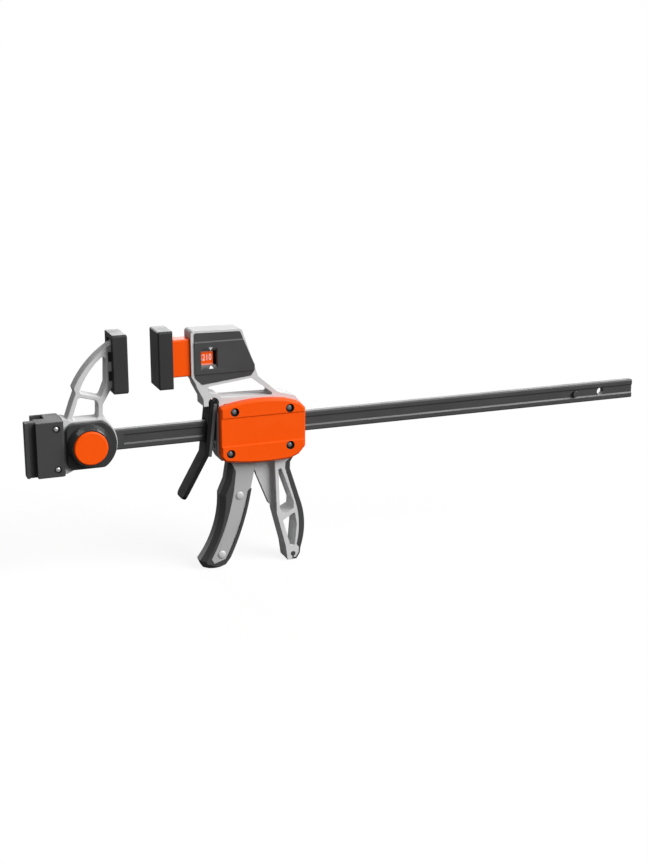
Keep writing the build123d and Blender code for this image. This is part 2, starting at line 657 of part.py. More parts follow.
with BuildPart() as jaw_body:
    extrude(casting_outline.sketch, amount=body_half, both=True)
    with BuildSketch(jaw_plane) as leg_opening:
        with BuildLine():
            Polyline(*spread(opening_shares, body_length, box_rise), close=True)
        make_face()
        fillet(leg_opening.vertices(), opening_round)
    extrude(amount=body_half, both=True, mode=Mode.SUBTRACT)
    with BuildSketch(jaw_plane) as upper_handle:
        with BuildLine():
            Polyline(*spread(upper_handle_shares, body_length, axis_height), close=True)
        make_face()
        fillet(upper_handle.vertices(), cast_round)
    extrude(amount=body_half, both=True, mode=Mode.SUBTRACT)
    with BuildSketch(jaw_plane) as lower_handle:
        with BuildLine():
            Polyline(*spread(lower_handle_shares, body_length, axis_height), close=True)
        make_face()
        fillet(lower_handle.vertices(), cast_round)
    extrude(amount=body_half, both=True, mode=Mode.SUBTRACT)
    with BuildSketch(jaw_plane):
        with Locations((lever_pivot_x, lever_pivot_rise - notch_radius)):
            Rectangle(2 * notch_radius, 2 * notch_radius)
        with Locations((lever_pivot_x, lever_pivot_rise)):
            Circle(notch_radius)
    extrude(amount=body_half, both=True, mode=Mode.SUBTRACT)
    with BuildSketch(jaw_plane):
        with BuildLine():
            Polyline(
                (cavity_left, frame_top), (cavity_right - rear_wall, frame_top),
                (cavity_right, frame_top - rear_wall), (cavity_right, -frame_floor),
                (handle_front[-1][0], -frame_floor), (handle_front[-1][0], -axis_height / 2),
                (cavity_left + lip_length, -axis_height / 2), (cavity_left + lip_length, -frame_floor),
                (cavity_left, -frame_floor), close=True)
        make_face()
    extrude(amount=body_half, both=True, mode=Mode.SUBTRACT)
    with BuildSketch(jaw_plane):
        with Locations(*cover_screw_places):
            RegularPolygon(post_radius, shank_sides)
        for x, z in cover_screw_places:
            wall = frame_top if z > 0 else -frame_floor
            with Locations((x, (z + wall) / 2)):
                Rectangle(2 * post_radius, abs(wall - z) + cast_round)
    extrude(amount=body_half, both=True)
    with BuildSketch(jaw_plane):
        with BuildLine():
            Polyline(*spread(gusset_shares, body_length, axis_height), close=True)
        make_face()
    extrude(amount=gusset_half, both=True)
    for side in (1, -1):
        with BuildSketch(jaw_plane.offset(side * lug_inner)):
            with Locations(trigger_pivot):
                Circle(lug_radius)
            with Locations((trigger_pivot_x, (trigger_pivot_rise + frame_top + cast_round) / 2)):
                Rectangle(2 * lug_radius, frame_top + cast_round - trigger_pivot_rise)
        extrude(amount=side * (body_half - lug_inner))
    with BuildSketch(jaw_plane):
        with Locations(trigger_pivot):
            Circle(trigger_pin_radius + pin_clearance)
        with Locations(*cover_screw_places):
            RegularPolygon(cover_screw_radius + pin_clearance, shank_sides)
        with Locations(keyhole):
            Circle(keyhole_radius)
        with Locations((keyhole[0], (keyhole[1] - axis_height) / 2)):
            Rectangle(keyhole_slot, axis_height + keyhole[1])
    extrude(amount=body_half, both=True, mode=Mode.SUBTRACT)
    with BuildSketch(jaw_end_plane):
        Rectangle(tunnel_width, tunnel_height)
    extrude(amount=body_length, mode=Mode.SUBTRACT)
    with BuildSketch(jaw_end_plane.offset(wall_front)):
        with Locations((0, -brake_spring_drop)):
            Circle(brake_spring_radius + brake_wire)
    extrude(amount=brake_pocket_depth, mode=Mode.SUBTRACT)
    with BuildSketch(jaw_end_plane):
        with Locations((0, plunger_middle)):
            Rectangle(2 * (plunger_half + running_clearance), plunger_height + 2 * running_clearance)
    extrude(amount=gauge_depth, mode=Mode.SUBTRACT)
    with BuildSketch(jaw_end_plane.offset(gauge_depth)):
        with Locations((0, plunger_middle)):
            Circle(rod_radius + pin_clearance)
    extrude(amount=rod_seat, mode=Mode.SUBTRACT)
    with BuildSketch(jaw_plane):
        with Locations(((gauge_mouth + gauge_depth - gauge_margin) / 2, plunger_middle)):
            Rectangle(gauge_depth - gauge_margin - gauge_mouth, plunger_height - 2 * gauge_margin)
    extrude(amount=body_half, both=True, mode=Mode.SUBTRACT)
    for side in (1, -1):
        with BuildSketch(jaw_plane.offset(side * body_half)):
            add(panel_outline.sketch_local)
            offset(amount=seat_clearance, mode=Mode.REPLACE)
        extrude(amount=-side * panel_rabbet, mode=Mode.SUBTRACT)
jaw_body.part.label = "jaw_body"
export_step(jaw_body.part, "parts/jaw_body.step")

# Plunger that carries the moving pad and the scale seen in the gauge windows
rod_inside = rod_length - rod_seat - gauge_depth + plunger_inside
with BuildPart() as plunger:
    with BuildSketch(jaw_end_plane.offset(-plunger_exposed - pad_wrap)):
        with Locations((0, plunger_middle)):
            Rectangle(2 * plunger_half, plunger_height)
    extrude(amount=plunger_exposed + pad_wrap + plunger_inside)
    fillet(plunger.edges().filter_by(Axis.X), plunger_round)
    with BuildSketch(jaw_end_plane.offset(plunger_inside)):
        with Locations((0, plunger_middle)):
            Circle(rod_radius + pin_clearance)
    extrude(amount=-(rod_inside + plunger_travel + rod_room), mode=Mode.SUBTRACT)
plunger.part.label = "plunger"
export_step(plunger.part, "parts/plunger.step")

# Guide rod, pressed in the gauge box's end wall
with BuildPart() as guide_rod:
    with BuildSketch(jaw_end_plane.offset(gauge_depth + rod_seat)):
        with Locations((0, plunger_middle)):
            Circle(rod_radius)
    extrude(amount=-rod_length)
guide_rod.part.label = "guide_rod"
export_step(guide_rod.part, "parts/guide_rod.step")

# Moving jaw pad, pressed over the plunger's end
with BuildPart() as moving_jaw_pad:
    with BuildSketch(jaw_end_plane.offset(-plunger_exposed)):
        with Locations((0, pad_middle)):
            Rectangle(pad_width, pad_height)
    extrude(amount=-pad_thickness)
    fillet(moving_jaw_pad.edges().filter_by(Axis.X), pad_round)
    chamfer(moving_jaw_pad.faces().sort_by(Axis.X)[0].edges(), pad_round / 2)
    with BuildSketch(jaw_end_plane.offset(-plunger_exposed)):
        with Locations((0, plunger_middle)):
            Rectangle(2 * (plunger_half + seat_clearance), plunger_height + 2 * seat_clearance)
    extrude(amount=-pad_wrap - seat_clearance, mode=Mode.SUBTRACT)
moving_jaw_pad.part.label = "moving_jaw_pad"
export_step(moving_jaw_pad.part, "parts/moving_jaw_pad.step")

# Gauge panels, a stepped plate with a bevelled window on each side of the box
sight = ((sight_left + sight_right) / 2, (sight_low + sight_top) / 2)
sight_width = sight_right - sight_left
sight_height = sight_top - sight_low
panel_back = body_half - panel_rabbet
with BuildPart() as gauge_panel_front:
    with BuildSketch(jaw_plane.offset(panel_back)):
        add(panel_outline.sketch_local)
    extrude(amount=panel_base + panel_raise)
    with BuildSketch(jaw_plane.offset(panel_back + panel_base)):
        with Locations((0, panel_crest + box_rise / 2), (0, panel_crease - box_rise / 2)):
            Rectangle(body_length * 2, box_rise)
    extrude(amount=panel_raise, mode=Mode.SUBTRACT)
    with BuildSketch(jaw_plane.offset(panel_back + panel_base + panel_raise)):
        with Locations(sight):
            Rectangle(sight_width, sight_height)
    with BuildSketch(jaw_plane.offset(panel_back + panel_base + panel_raise - sight_bevel_depth)):
        with Locations(sight):
            Rectangle(sight_width - 2 * sight_side_bevel, sight_height - 2 * sight_end_bevel)
    loft(mode=Mode.SUBTRACT)
    with BuildSketch(jaw_plane.offset(panel_back)):
        with Locations(sight):
            Rectangle(sight_width - 2 * sight_side_bevel, sight_height - 2 * sight_end_bevel)
    extrude(amount=panel_base + panel_raise, mode=Mode.SUBTRACT)
gauge_panel_front.part.label = "gauge_panel_front"
export_step(gauge_panel_front.part, "parts/gauge_panel_front.step")
with BuildPart() as gauge_panel_rear:
    mirror(gauge_panel_front.part, about=Plane.XZ)
gauge_panel_rear.part.label = "gauge_panel_rear"
export_step(gauge_panel_rear.part, "parts/gauge_panel_rear.step")

# Covers, hollow shells with a set-back middle band and four screw bosses
cover_top = spread(cover_top_shares, body_length, cover_rise)
cover_low = spread(cover_low_shares, body_length, cover_drop)
with BuildSketch(jaw_plane.offset(body_half)) as cover_outline:
    with BuildLine():
        ThreePointArc(*cover_top[:3])
        Polyline(*cover_top[2:], *cover_low[:3])
        ThreePointArc(*cover_low[2:5])
        Polyline(*cover_low[4:], cover_top[0])
    make_face()
    fillet(cover_outline.vertices(), cover_corner)
cover_front_y = body_half + cover_thickness
with BuildPart() as cover_front:
    extrude(cover_outline.sketch, amount=cover_thickness)
    chamfer(cover_front.faces().sort_by(Axis.Y)[0].edges(), cover_edge)
    with BuildSketch(jaw_plane.offset(cover_front_y - cover_band)):
        with Locations((body_length / 2, (band_top - band_low) / 2)):
            Rectangle(2 * body_length, band_top + band_low)
    extrude(amount=overrun, mode=Mode.SUBTRACT)
    with BuildSketch(jaw_plane.offset(body_half)) as cover_hollow:
        add(cover_outline.sketch_local)
        offset(amount=-cover_wall, mode=Mode.REPLACE)
    extrude(amount=cover_thickness - cover_wall - cover_band, mode=Mode.SUBTRACT)
    with BuildSketch(jaw_plane.offset(body_half)):
        with Locations(*cover_screw_places):
            RegularPolygon(cover_boss_radius, shank_sides)
    extrude(amount=cover_thickness - cover_wall)
    with BuildSketch(jaw_plane.offset(cover_front_y - cover_recess_depth)):
        with Locations(*cover_screw_places):
            Circle(cover_recess_radius)
    extrude(amount=overrun, mode=Mode.SUBTRACT)
    with BuildSketch(jaw_plane.offset(body_half)):
        with Locations(*cover_screw_places):
            RegularPolygon(cover_screw_radius + pin_clearance, shank_sides)
    extrude(amount=cover_thickness, mode=Mode.SUBTRACT)
cover_front.part.label = "cover_front"
export_step(cover_front.part, "parts/cover_front.step")
with BuildPart() as cover_rear:
    mirror(cover_front.part, about=Plane.XZ)
cover_rear.part.label = "cover_rear"
export_step(cover_rear.part, "parts/cover_rear.step")

# Cover screws, four on each side, in the casting's posts
with BuildPart() as cover_screws:
    for side in (1, -1):
        with Locations(jaw_plane.offset(side * (cover_front_y - cover_recess_depth))):
            with Locations(*cover_screw_places):
                tapered(cover_screw_head, cover_screw_tip, cover_screw_head_height, side)
        with BuildSketch(jaw_plane.offset(side * (cover_front_y - cover_recess_depth))):
            with Locations(*cover_screw_places):
                RegularPolygon(cover_screw_radius, shank_sides)
        extrude(amount=-side * cover_screw_length)
cover_screws.part.label = "cover_screws"
export_step(cover_screws.part, "parts/cover_screws.step")

# Release lever, a bent plate hooked in the casting's notch, and the brake plate behind it
lever_lean = radians(lever_tilt)
lever_plane = Plane(
    origin=jaw_plane.origin + (lever_pivot_x, 0, lever_pivot_rise),
    x_dir=(cos(lever_lean), 0, -sin(lever_lean)), z_dir=(0, -1, 0))
lever_face_plane = Plane(origin=lever_plane.origin, x_dir=(0, 1, 0), z_dir=lever_plane.x_dir)
lever_stack = lever_thickness + brake_thickness
lever_left = -lever_stack / 2
lever_right = lever_left + lever_thickness
bend = radians(lever_bend)
arm_tip = Vector(lever_left - lever_arm * sin(bend), -lever_drop - lever_arm * cos(bend))
arm_heel = arm_tip + Vector(lever_thickness * cos(bend), -lever_thickness * sin(bend))
arm_root = (lever_right, arm_heel.Y + (lever_right - arm_heel.X) / tan(bend))
slot_top = (lever_pivot_rise - bar_half_height) / cos(lever_lean) - lever_stack / 2 * tan(lever_lean)
slot_low = (lever_pivot_rise + bar_half_height) / cos(lever_lean) + lever_stack / 2 * tan(lever_lean)
slot_middle = -(slot_top + slot_low) / 2
slot_height = slot_low - slot_top + 2 * running_clearance
with BuildPart() as release_lever:
    with BuildSketch(lever_plane):
        with BuildLine():
            Polyline(
                (lever_left, lever_head), (lever_left, -lever_drop), arm_tip, arm_heel, arm_root,
                (lever_right, lever_head), close=True)
        make_face()
    extrude(amount=lever_half, both=True)
    fillet(release_lever.edges().filter_by(Axis.Y, reverse=True).group_by(Axis.Z)[0], lever_tip_round)
    with BuildSketch(lever_face_plane.offset(lever_left)):
        with Locations((0, slot_middle)):
            Rectangle(tunnel_width, slot_height)
    extrude(amount=lever_thickness, mode=Mode.SUBTRACT)
release_lever.part.label = "release_lever"
export_step(release_lever.part, "parts/release_lever.step")
with BuildPart() as brake_plate:
    with BuildSketch(lever_face_plane.offset(lever_right)):
        with Locations((0, -(brake_top_drop + brake_drop) / 2)):
            Rectangle(2 * lever_half, brake_drop - brake_top_drop)
        with Locations((0, slot_middle)):
            Rectangle(tunnel_width, slot_height, mode=Mode.SUBTRACT)
    extrude(amount=brake_thickness)
brake_plate.part.label = "brake_plate"
export_step(brake_plate.part, "parts/brake_plate.step")

# Trigger, a channel that straddles the bar and the handle's gusset
nose_x = trigger_pivot_x + nose_reach
trigger_left_bow = spread(trigger_left_bow_shares, body_length, axis_height)
trigger_left = spread(trigger_left_shares, body_length, axis_height)
trigger_toe = spread(trigger_toe_shares, body_length, axis_height)
trigger_inner_bow = spread(trigger_inner_bow_shares, body_length, axis_height)
trigger_right = spread(trigger_right_shares, body_length, axis_height)
head_left = (trigger_pivot_x - trigger_head_radius, trigger_pivot_rise)
head_right = (trigger_pivot_x + trigger_head_radius, trigger_pivot_rise)
head_top = (trigger_pivot_x, trigger_pivot_rise + trigger_head_radius)
with BuildSketch(jaw_plane) as trigger_outline:
    with BuildLine():
        ThreePointArc(head_left, head_top, head_right)
        Polyline(head_left, *spread(neck_shares, body_length, axis_height), *trigger_left)
        ThreePointArc(trigger_left[-1], *trigger_left_bow)
        Polyline(trigger_left_bow[-1], *trigger_toe)
        ThreePointArc(trigger_toe[-1], *trigger_inner_bow)
        Polyline(
            trigger_inner_bow[-1], *trigger_right, (nose_x, -nose_drop),
            *spread(nose_back_shares, body_length, axis_height), head_right)
    make_face()
rivet_places = spread(rivet_shares, body_length, axis_height)
with BuildPart() as trigger:
    extrude(trigger_outline.sketch, amount=trigger_half, both=True)
    extrude(
        trigger_outline.sketch.moved(Location((trigger_web, 0, 0))), amount=trigger_slot_half, both=True,
        mode=Mode.SUBTRACT)
    with BuildSketch(jaw_plane):
        with Locations((trigger_pivot_x, (axis_height - trigger_web_top) / 2)):
            Rectangle(body_length, axis_height + trigger_web_top)
    extrude(amount=trigger_slot_half, both=True, mode=Mode.SUBTRACT)
    with BuildSketch(jaw_plane):
        with Locations(trigger_pivot):
            Circle(trigger_pin_radius + pin_clearance)
        with Locations(*rivet_places):
            RegularPolygon(rivet_radius + pin_clearance, shank_sides)
    extrude(amount=trigger_half, both=True, mode=Mode.SUBTRACT)
trigger.part.label = "trigger"
export_step(trigger.part, "parts/trigger.step")

# Trigger pivot pin, through the casting's lugs
with BuildPart() as trigger_pin:
    with BuildSketch(jaw_plane):
        with Locations(trigger_pivot):
            Circle(trigger_pin_radius)
    extrude(amount=body_half - seat_clearance, both=True)
trigger_pin.part.label = "trigger_pin"
export_step(trigger_pin.part, "parts/trigger_pin.step")

# Trigger rivets, with a round head on each cheek
with BuildPart() as trigger_rivets:
    for side in (1, -1):
        with Locations(jaw_plane.offset(side * trigger_half)):
            with Locations(*rivet_places):
                tapered(rivet_head_radius, rivet_head_tip, rivet_head, side)
    with BuildSketch(jaw_plane):
        with Locations(*rivet_places):
            RegularPolygon(rivet_radius, shank_sides)
    extrude(amount=trigger_half, both=True)
trigger_rivets.part.label = "trigger_rivets"
export_step(trigger_rivets.part, "parts/trigger_rivets.step")

# Trigger grip, moulded round the channel's edges and toe
grip_top = spread(grip_top_shares, body_length, axis_height)
grip_bow = spread(grip_bow_shares, body_length, axis_height)
grip_toe = spread(grip_toe_shares, body_length, axis_height)
grip_strip_bow = spread(grip_strip_bow_shares, body_length, axis_height)
grip_crest = (grip_crest_share[0] * body_length, grip_crest_share[1] * axis_height)


def grip_side(place):
    """Whether a place on the grip's rim lies on the side of the fingers."""
    across = (place.X - box_x - grip_crest[0]) * (grip_toe[1][1] - grip_crest[1])
    along = (place.Z - axis_height - grip_crest[1]) * (grip_toe[1][0] - grip_crest[0])
    return across > along


with BuildPart() as trigger_grip:
    with BuildSketch(jaw_plane):
        with BuildLine():
            Polyline(grip_crest, *grip_top)
            ThreePointArc(grip_top[-1], *grip_bow)
            Polyline(grip_bow[-1], *grip_toe)
            ThreePointArc(grip_toe[-1], *grip_strip_bow)
            Line(grip_strip_bow[-1], grip_crest)
        make_face()
    extrude(amount=grip_half, both=True)
    grip_faces = trigger_grip.faces().sort_by(Axis.Y)
    grip_rims = grip_faces[0].edges() + grip_faces[-1].edges()
    chamfer([rim for rim in grip_rims if grip_side(rim.center())], grip_round)
    with BuildSketch(jaw_plane):
        add(trigger_outline.sketch_local)
        offset(amount=seat_clearance, mode=Mode.REPLACE)
    extrude(amount=grip_half, both=True, mode=Mode.SUBTRACT)
    with BuildSketch(jaw_plane):
        with BuildLine():
            Polyline(*spread(channel_shares, body_length, axis_height), close=True)
        make_face()
    extrude(amount=trigger_slot_half, both=True, mode=Mode.SUBTRACT)
trigger_grip.part.label = "trigger_grip"
export_step(trigger_grip.part, "parts/trigger_grip.step")

# Handle grip along the handle's back, with a tail that ends in the foot's keyhole
handle_grip_line = spread(handle_grip_shares, body_length, axis_height)
handle_grip_bow = spread(handle_grip_bow_shares, body_length, axis_height)
handle_tail = spread(handle_tail_shares, body_length, axis_height)
handle_grip_inner = spread(handle_grip_inner_shares, body_length, axis_height)
with BuildPart() as handle_grip:
    with BuildSketch(jaw_plane):
        with BuildLine():
            Polyline(*handle_grip_line)
            ThreePointArc(handle_grip_line[-1], *handle_grip_bow)
            Polyline(handle_grip_bow[-1], *handle_tail, *handle_grip_inner, handle_grip_line[0])
        make_face()
    extrude(amount=body_half, both=True)
    with BuildSketch(jaw_plane):
        add(casting_outline.sketch_local)
        offset(amount=seat_clearance, mode=Mode.REPLACE)
    extrude(amount=body_half, both=True, mode=Mode.SUBTRACT)
    with BuildSketch(jaw_plane):
        with Locations(keyhole):
            Circle(bead_radius)
        with Locations((keyhole[0], (keyhole[1] + handle_tail[-1][1]) / 2)):
            Rectangle(bead_neck, keyhole[1] - handle_tail[-1][1])
    extrude(amount=body_half, both=True)
handle_grip.part.label = "handle_grip"
export_step(handle_grip.part, "parts/handle_grip.step")

# Drive plate on the bar, pushed by the trigger's nose
drive_left = nose_x + running_clearance
drive_right = drive_left + drive_thickness
with BuildPart() as drive_plate:
    with BuildSketch(jaw_end_plane.offset(drive_left)):
        with Locations((0, (drive_rise - drive_drop) / 2)):
            Rectangle(2 * drive_half, drive_rise + drive_drop)
        Rectangle(tunnel_width, tunnel_height, mode=Mode.SUBTRACT)
    extrude(amount=drive_thickness)
drive_plate.part.label = "drive_plate"
export_step(drive_plate.part, "parts/drive_plate.step")

# Force, drive and lock springs, out of sight in the box, the casting and the head, as plain sleeves
force_spring_plane = Plane(
    jaw_plane.origin + (plunger_inside + seat_clearance, 0, plunger_middle), x_dir=(0, 1, 0), z_dir=(1, 0, 0))
force_spring_length = gauge_depth - plunger_inside - 2 * seat_clearance
drive_spring_plane = jaw_end_plane.offset(drive_right + seat_clearance)
drive_spring_length = cavity_right - drive_right - 2 * seat_clearance
lock_spring_plane = lock_plane.offset(lock_floor + seat_clearance)
lock_spring_length = button_front - button_wall - lock_floor - 2 * seat_clearance
sleeves = (
    ("force_spring", force_spring_plane, force_spring_radius, force_spring_length, force_wire),
    ("drive_spring", drive_spring_plane, drive_spring_radius, drive_spring_length, drive_wire),
    ("lock_spring", lock_spring_plane, lock_spring_radius, lock_spring_length, lock_wire))
for name, plane, radius, length, wire in sleeves:
    with BuildPart() as sleeve:
        with BuildSketch(plane):
            RegularPolygon(radius + wire / 2, sleeve_sides)
            RegularPolygon(radius - wire / 2, sleeve_sides, mode=Mode.SUBTRACT)
        extrude(amount=length)
    sleeve.part.label = name
    export_step(sleeve.part, "parts/" + name + ".step")

# Brake spring between the brake plate and the casting, wound from square wire
brake_face = (lever_stack / 2) / cos(lever_lean) - (
    lever_pivot_rise + brake_spring_drop - brake_spring_radius - brake_wire) * tan(lever_lean) + lever_pivot_x
brake_spring_plane = Plane(
    jaw_plane.origin + (brake_face + seat_clearance, 0, -brake_spring_drop), x_dir=(0, 1, 0), z_dir=(1, 0, 0))
brake_spring_length = wall_front + brake_pocket_depth - brake_face - 2 * seat_clearance
wire_room = brake_wire * sqrt(2)
brake_pitch = (brake_spring_length - wire_room) / brake_turns
brake_start = brake_spring_plane.offset(wire_room / 2)
stations = coil_points(brake_start, brake_spring_radius, brake_pitch, brake_turns, round(4 * brake_turns))
least_gap("brake_spring", brake_spring_plane, brake_spring_radius, brake_pitch, brake_turns, wire_room)
with BuildPart() as brake_spring:
    with BuildLine() as winding:
        for (start, start_run), (end, end_run) in zip(stations, stations[1:]):
            middle = biarc(start, start_run, end, end_run)
            TangentArc(start, middle, tangent=start_run)
            TangentArc(middle, end, tangent=run_after(start, start_run, middle))
    with BuildSketch(Plane(stations[0][0], x_dir=brake_spring_plane.z_dir, z_dir=stations[0][1])):
        Rectangle(brake_wire, brake_wire)
    sweep(path=winding.line, clean=False)
brake_spring.part.label = "brake_spring"
export_step(brake_spring.part, "parts/brake_spring.step")
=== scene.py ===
from math import cos, pi, radians, sin

import bmesh
import bpy
from bpy.props import FloatProperty, FloatVectorProperty, IntProperty, PointerProperty
from mathutils import Matrix, Vector


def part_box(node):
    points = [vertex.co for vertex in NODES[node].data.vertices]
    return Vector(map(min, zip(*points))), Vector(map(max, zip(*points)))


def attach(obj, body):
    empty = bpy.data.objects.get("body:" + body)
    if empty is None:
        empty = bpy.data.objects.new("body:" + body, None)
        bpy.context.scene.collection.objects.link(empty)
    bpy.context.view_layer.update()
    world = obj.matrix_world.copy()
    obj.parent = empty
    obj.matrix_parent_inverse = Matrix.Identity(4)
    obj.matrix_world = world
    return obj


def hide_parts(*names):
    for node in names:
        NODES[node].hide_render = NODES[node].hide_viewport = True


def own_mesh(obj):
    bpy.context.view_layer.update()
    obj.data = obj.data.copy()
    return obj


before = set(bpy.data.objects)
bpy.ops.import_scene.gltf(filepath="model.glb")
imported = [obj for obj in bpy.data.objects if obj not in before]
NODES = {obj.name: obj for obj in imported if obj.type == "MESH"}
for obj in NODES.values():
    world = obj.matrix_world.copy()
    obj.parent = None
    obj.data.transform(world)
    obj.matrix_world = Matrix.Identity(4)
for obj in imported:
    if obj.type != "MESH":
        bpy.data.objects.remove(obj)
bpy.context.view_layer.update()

bl_info = {
    "name": "One-handed bar clamp",
    "version": (1, 0, 0),
    "blender": (4, 5, 0),
    "location": "View3D > Sidebar > Bar clamp",
    "description": "Dresses the bar clamp with rounded castings, moulded grips, springs and a force scale",
    "category": "Object",
}


def box_of(node_name):
    """The lowest and highest corner of a CAD node at rest."""
    return tuple(Vector(corner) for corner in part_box(node_name))


BAR_LOW, BAR_HIGH = box_of("bar")
BAR_MIDDLE = (BAR_LOW + BAR_HIGH) / 2
JAW_LOW = box_of("jaw_body")[0]

# Shaping, in metres and degrees
MATCH = 5e-5          # two places nearer than this are the same
MERGE = 2e-6          # corners of the CAD's loose triangles nearer than this are one
FLAT_ANGLE = 0.6      # triangles that meet at less than this become one face
SHARP_ANGLE = 32.0    # edges sharper than this are rounded
CREASE_ANGLE = 40.0   # edges of turned shapes sharper than this stay crisp

# Finishes
DRIFT_SCALE = 45.0    # patches of tone per metre
GRAIN_DEPTH = 0.0004  # height of the grain at full strength

# Places on the moving jaw, from its front edge and from the bar's axis
COVER_SCREWS = ((0.03795, 0.0191), (0.0916, 0.0183), (0.03365, -0.0204), (0.0918, -0.0176))
RIVETS = ((0.0444, -0.06456), (0.0258, -0.12105))
WINDOW_X, WINDOW_Z = 0.0166, 0.0704
WINDOW_REACH_X, WINDOW_REACH_Z = 0.0080, 0.0102

# Heights of moulded steps over the bar's axis, and how far each slides to become a slope
COVER_STEPS = ((0.0133, 0.0009), (-0.0128, -0.0006))
PANEL_STEPS = ((0.086, -0.0010), (0.055, 0.0007))


def jaw_place(x, y, z):
    """A place on the moving jaw, from its front edge, the bar's mid-plane and the bar's axis."""
    return Vector((JAW_LOW.x + x, y, BAR_MIDDLE.z + z))


class ClampColours(bpy.types.PropertyGroup):
    """Colours of the clamp's finishes."""
    orange: FloatVectorProperty(
        name="Orange plastic", description="Covers, button and plunger", subtype="COLOR", size=3,
        default=(0.97, 0.094, 0.0008), min=0, max=1)
    dark_plastic: FloatVectorProperty(
        name="Dark plastic", description="Coupling block", subtype="COLOR", size=3,
        default=(0.060, 0.060, 0.061), min=0, max=1)
    panel: FloatVectorProperty(
        name="Gauge panels", description="Dark panels round the gauge windows", subtype="COLOR", size=3,
        default=(0.058, 0.058, 0.059), min=0, max=1)
    pad: FloatVectorProperty(
        name="Jaw pads", description="Caps on the two jaws, lock housing and rear lock cap",
        subtype="COLOR", size=3, default=(0.041, 0.041, 0.042), min=0, max=1)
    casting: FloatVectorProperty(
        name="Castings", description="Silver finish of the two castings", subtype="COLOR", size=3,
        default=(0.60, 0.60, 0.605), min=0, max=1)
    sheet: FloatVectorProperty(
        name="Trigger plate", description="Satin sheet of the trigger", subtype="COLOR", size=3,
        default=(0.47, 0.47, 0.475), min=0, max=1)
    bar: FloatVectorProperty(
        name="Bar", description="Blackened steel of the bar and its stop pin", subtype="COLOR", size=3,
        default=(0.066, 0.066, 0.067), min=0, max=1)
    lever: FloatVectorProperty(
        name="Lever", description="Release lever, drive plate, force spring and guide rod",
        subtype="COLOR", size=3, default=(0.012, 0.012, 0.013), min=0, max=1)
    brake: FloatVectorProperty(
        name="Brake plate", description="Grey plate behind the lever", subtype="COLOR", size=3,
        default=(0.115, 0.12, 0.124), min=0, max=1)
    rubber: FloatVectorProperty(
        name="Grips", description="Soft black grips", subtype="COLOR", size=3,
        default=(0.052, 0.052, 0.053), min=0, max=1)
    bright: FloatVectorProperty(
        name="Bright steel", description="Coupling screws, lock yoke, pivot pin and springs",
        subtype="COLOR", size=3, default=(0.62, 0.62, 0.63), min=0, max=1)
    # Painted shade: near-black colour of the cups put into the screw recesses, standing in for the shadow
    # that falls there
    recess: FloatVectorProperty(
        name="Recesses", description="Dark liners of the screw recesses", subtype="COLOR", size=3,
        default=(0.012, 0.010, 0.009), min=0, max=1)
    screw: FloatVectorProperty(
        name="Cover screws", description="Domed heads of the covers' screws", subtype="COLOR", size=3,
        default=(0.22, 0.228, 0.233), min=0, max=1)
    rivet: FloatVectorProperty(
        name="Rivets", description="Domed heads of the trigger's rivets", subtype="COLOR", size=3,
        default=(0.58, 0.58, 0.585), min=0, max=1)
    marking: FloatVectorProperty(
        name="Markings", description="Scale marks and pointers", subtype="COLOR", size=3,
        default=(0.86, 0.86, 0.85), min=0, max=1)


class ClampEdges(bpy.types.PropertyGroup):
    """Widths of the rounded edges."""
    casting: FloatProperty(
        name="Castings", description="Rounding of the cast edges", default=0.0008, min=0, unit="LENGTH")
    plastic: FloatProperty(
        name="Plastics", description="Rounding of moulded edges", default=0.0004, min=0, unit="LENGTH")
    sheet: FloatProperty(
        name="Plates", description="Rounding of cut and bent plates", default=0.0005, min=0, unit="LENGTH")
    grip: FloatProperty(
        name="Grips", description="Rounding of the soft grips", default=0.0028, min=0, unit="LENGTH")
    window: FloatProperty(
        name="Windows", description="Rounding of the gauge windows' corners", default=0.0011, min=0,
        unit="LENGTH")
    steps: IntProperty(name="Steps", description="Faces across a rounded edge", default=3, min=1, max=6)


class ClampHeads(bpy.types.PropertyGroup):
    """Domed heads of the screws and rivets."""
    cover: FloatProperty(
        name="Cover screws", description="Radius of the covers' screw heads", default=0.0030, min=0,
        unit="LENGTH")
    cover_height: FloatProperty(
        name="Cover screw height", description="Height of the covers' screw heads", default=0.0026, min=0,
        unit="LENGTH")
    coupling: FloatProperty(
        name="Coupling screws", description="Radius of the coupling's screw heads", default=0.00225, min=0,
        unit="LENGTH")
    rivet: FloatProperty(
        name="Rivets", description="Radius of the rivets' heads", default=0.0038, min=0, unit="LENGTH")


class ClampGauge(bpy.types.PropertyGroup):
    """Scale on the plunger and pointers at the gauge windows."""
    tick_width: FloatProperty(
        name="Tick width", description="Width of a scale mark", default=0.00032, min=0, unit="LENGTH")
    tick_height: FloatProperty(
        name="Tick height", description="Height of a scale mark", default=0.0013, min=0, unit="LENGTH")
    tick_step: FloatProperty(
        name="Tick step", description="Distance between scale marks", default=0.001, min=0, unit="LENGTH")
    ticks: IntProperty(name="Ticks", description="Marks in a row", default=12, min=2, max=40)
    digit_height: FloatProperty(
        name="Digit height", description="Height of the scale's numbers", default=0.0062, min=0,
        unit="LENGTH")
    pointer_x: FloatProperty(
        name="Pointer place", description="Pointer from the casting's front", default=0.0183,
        unit="LENGTH")
    pointer_width: FloatProperty(
        name="Pointer width", description="Width of a pointer", default=0.0042, min=0, unit="LENGTH")


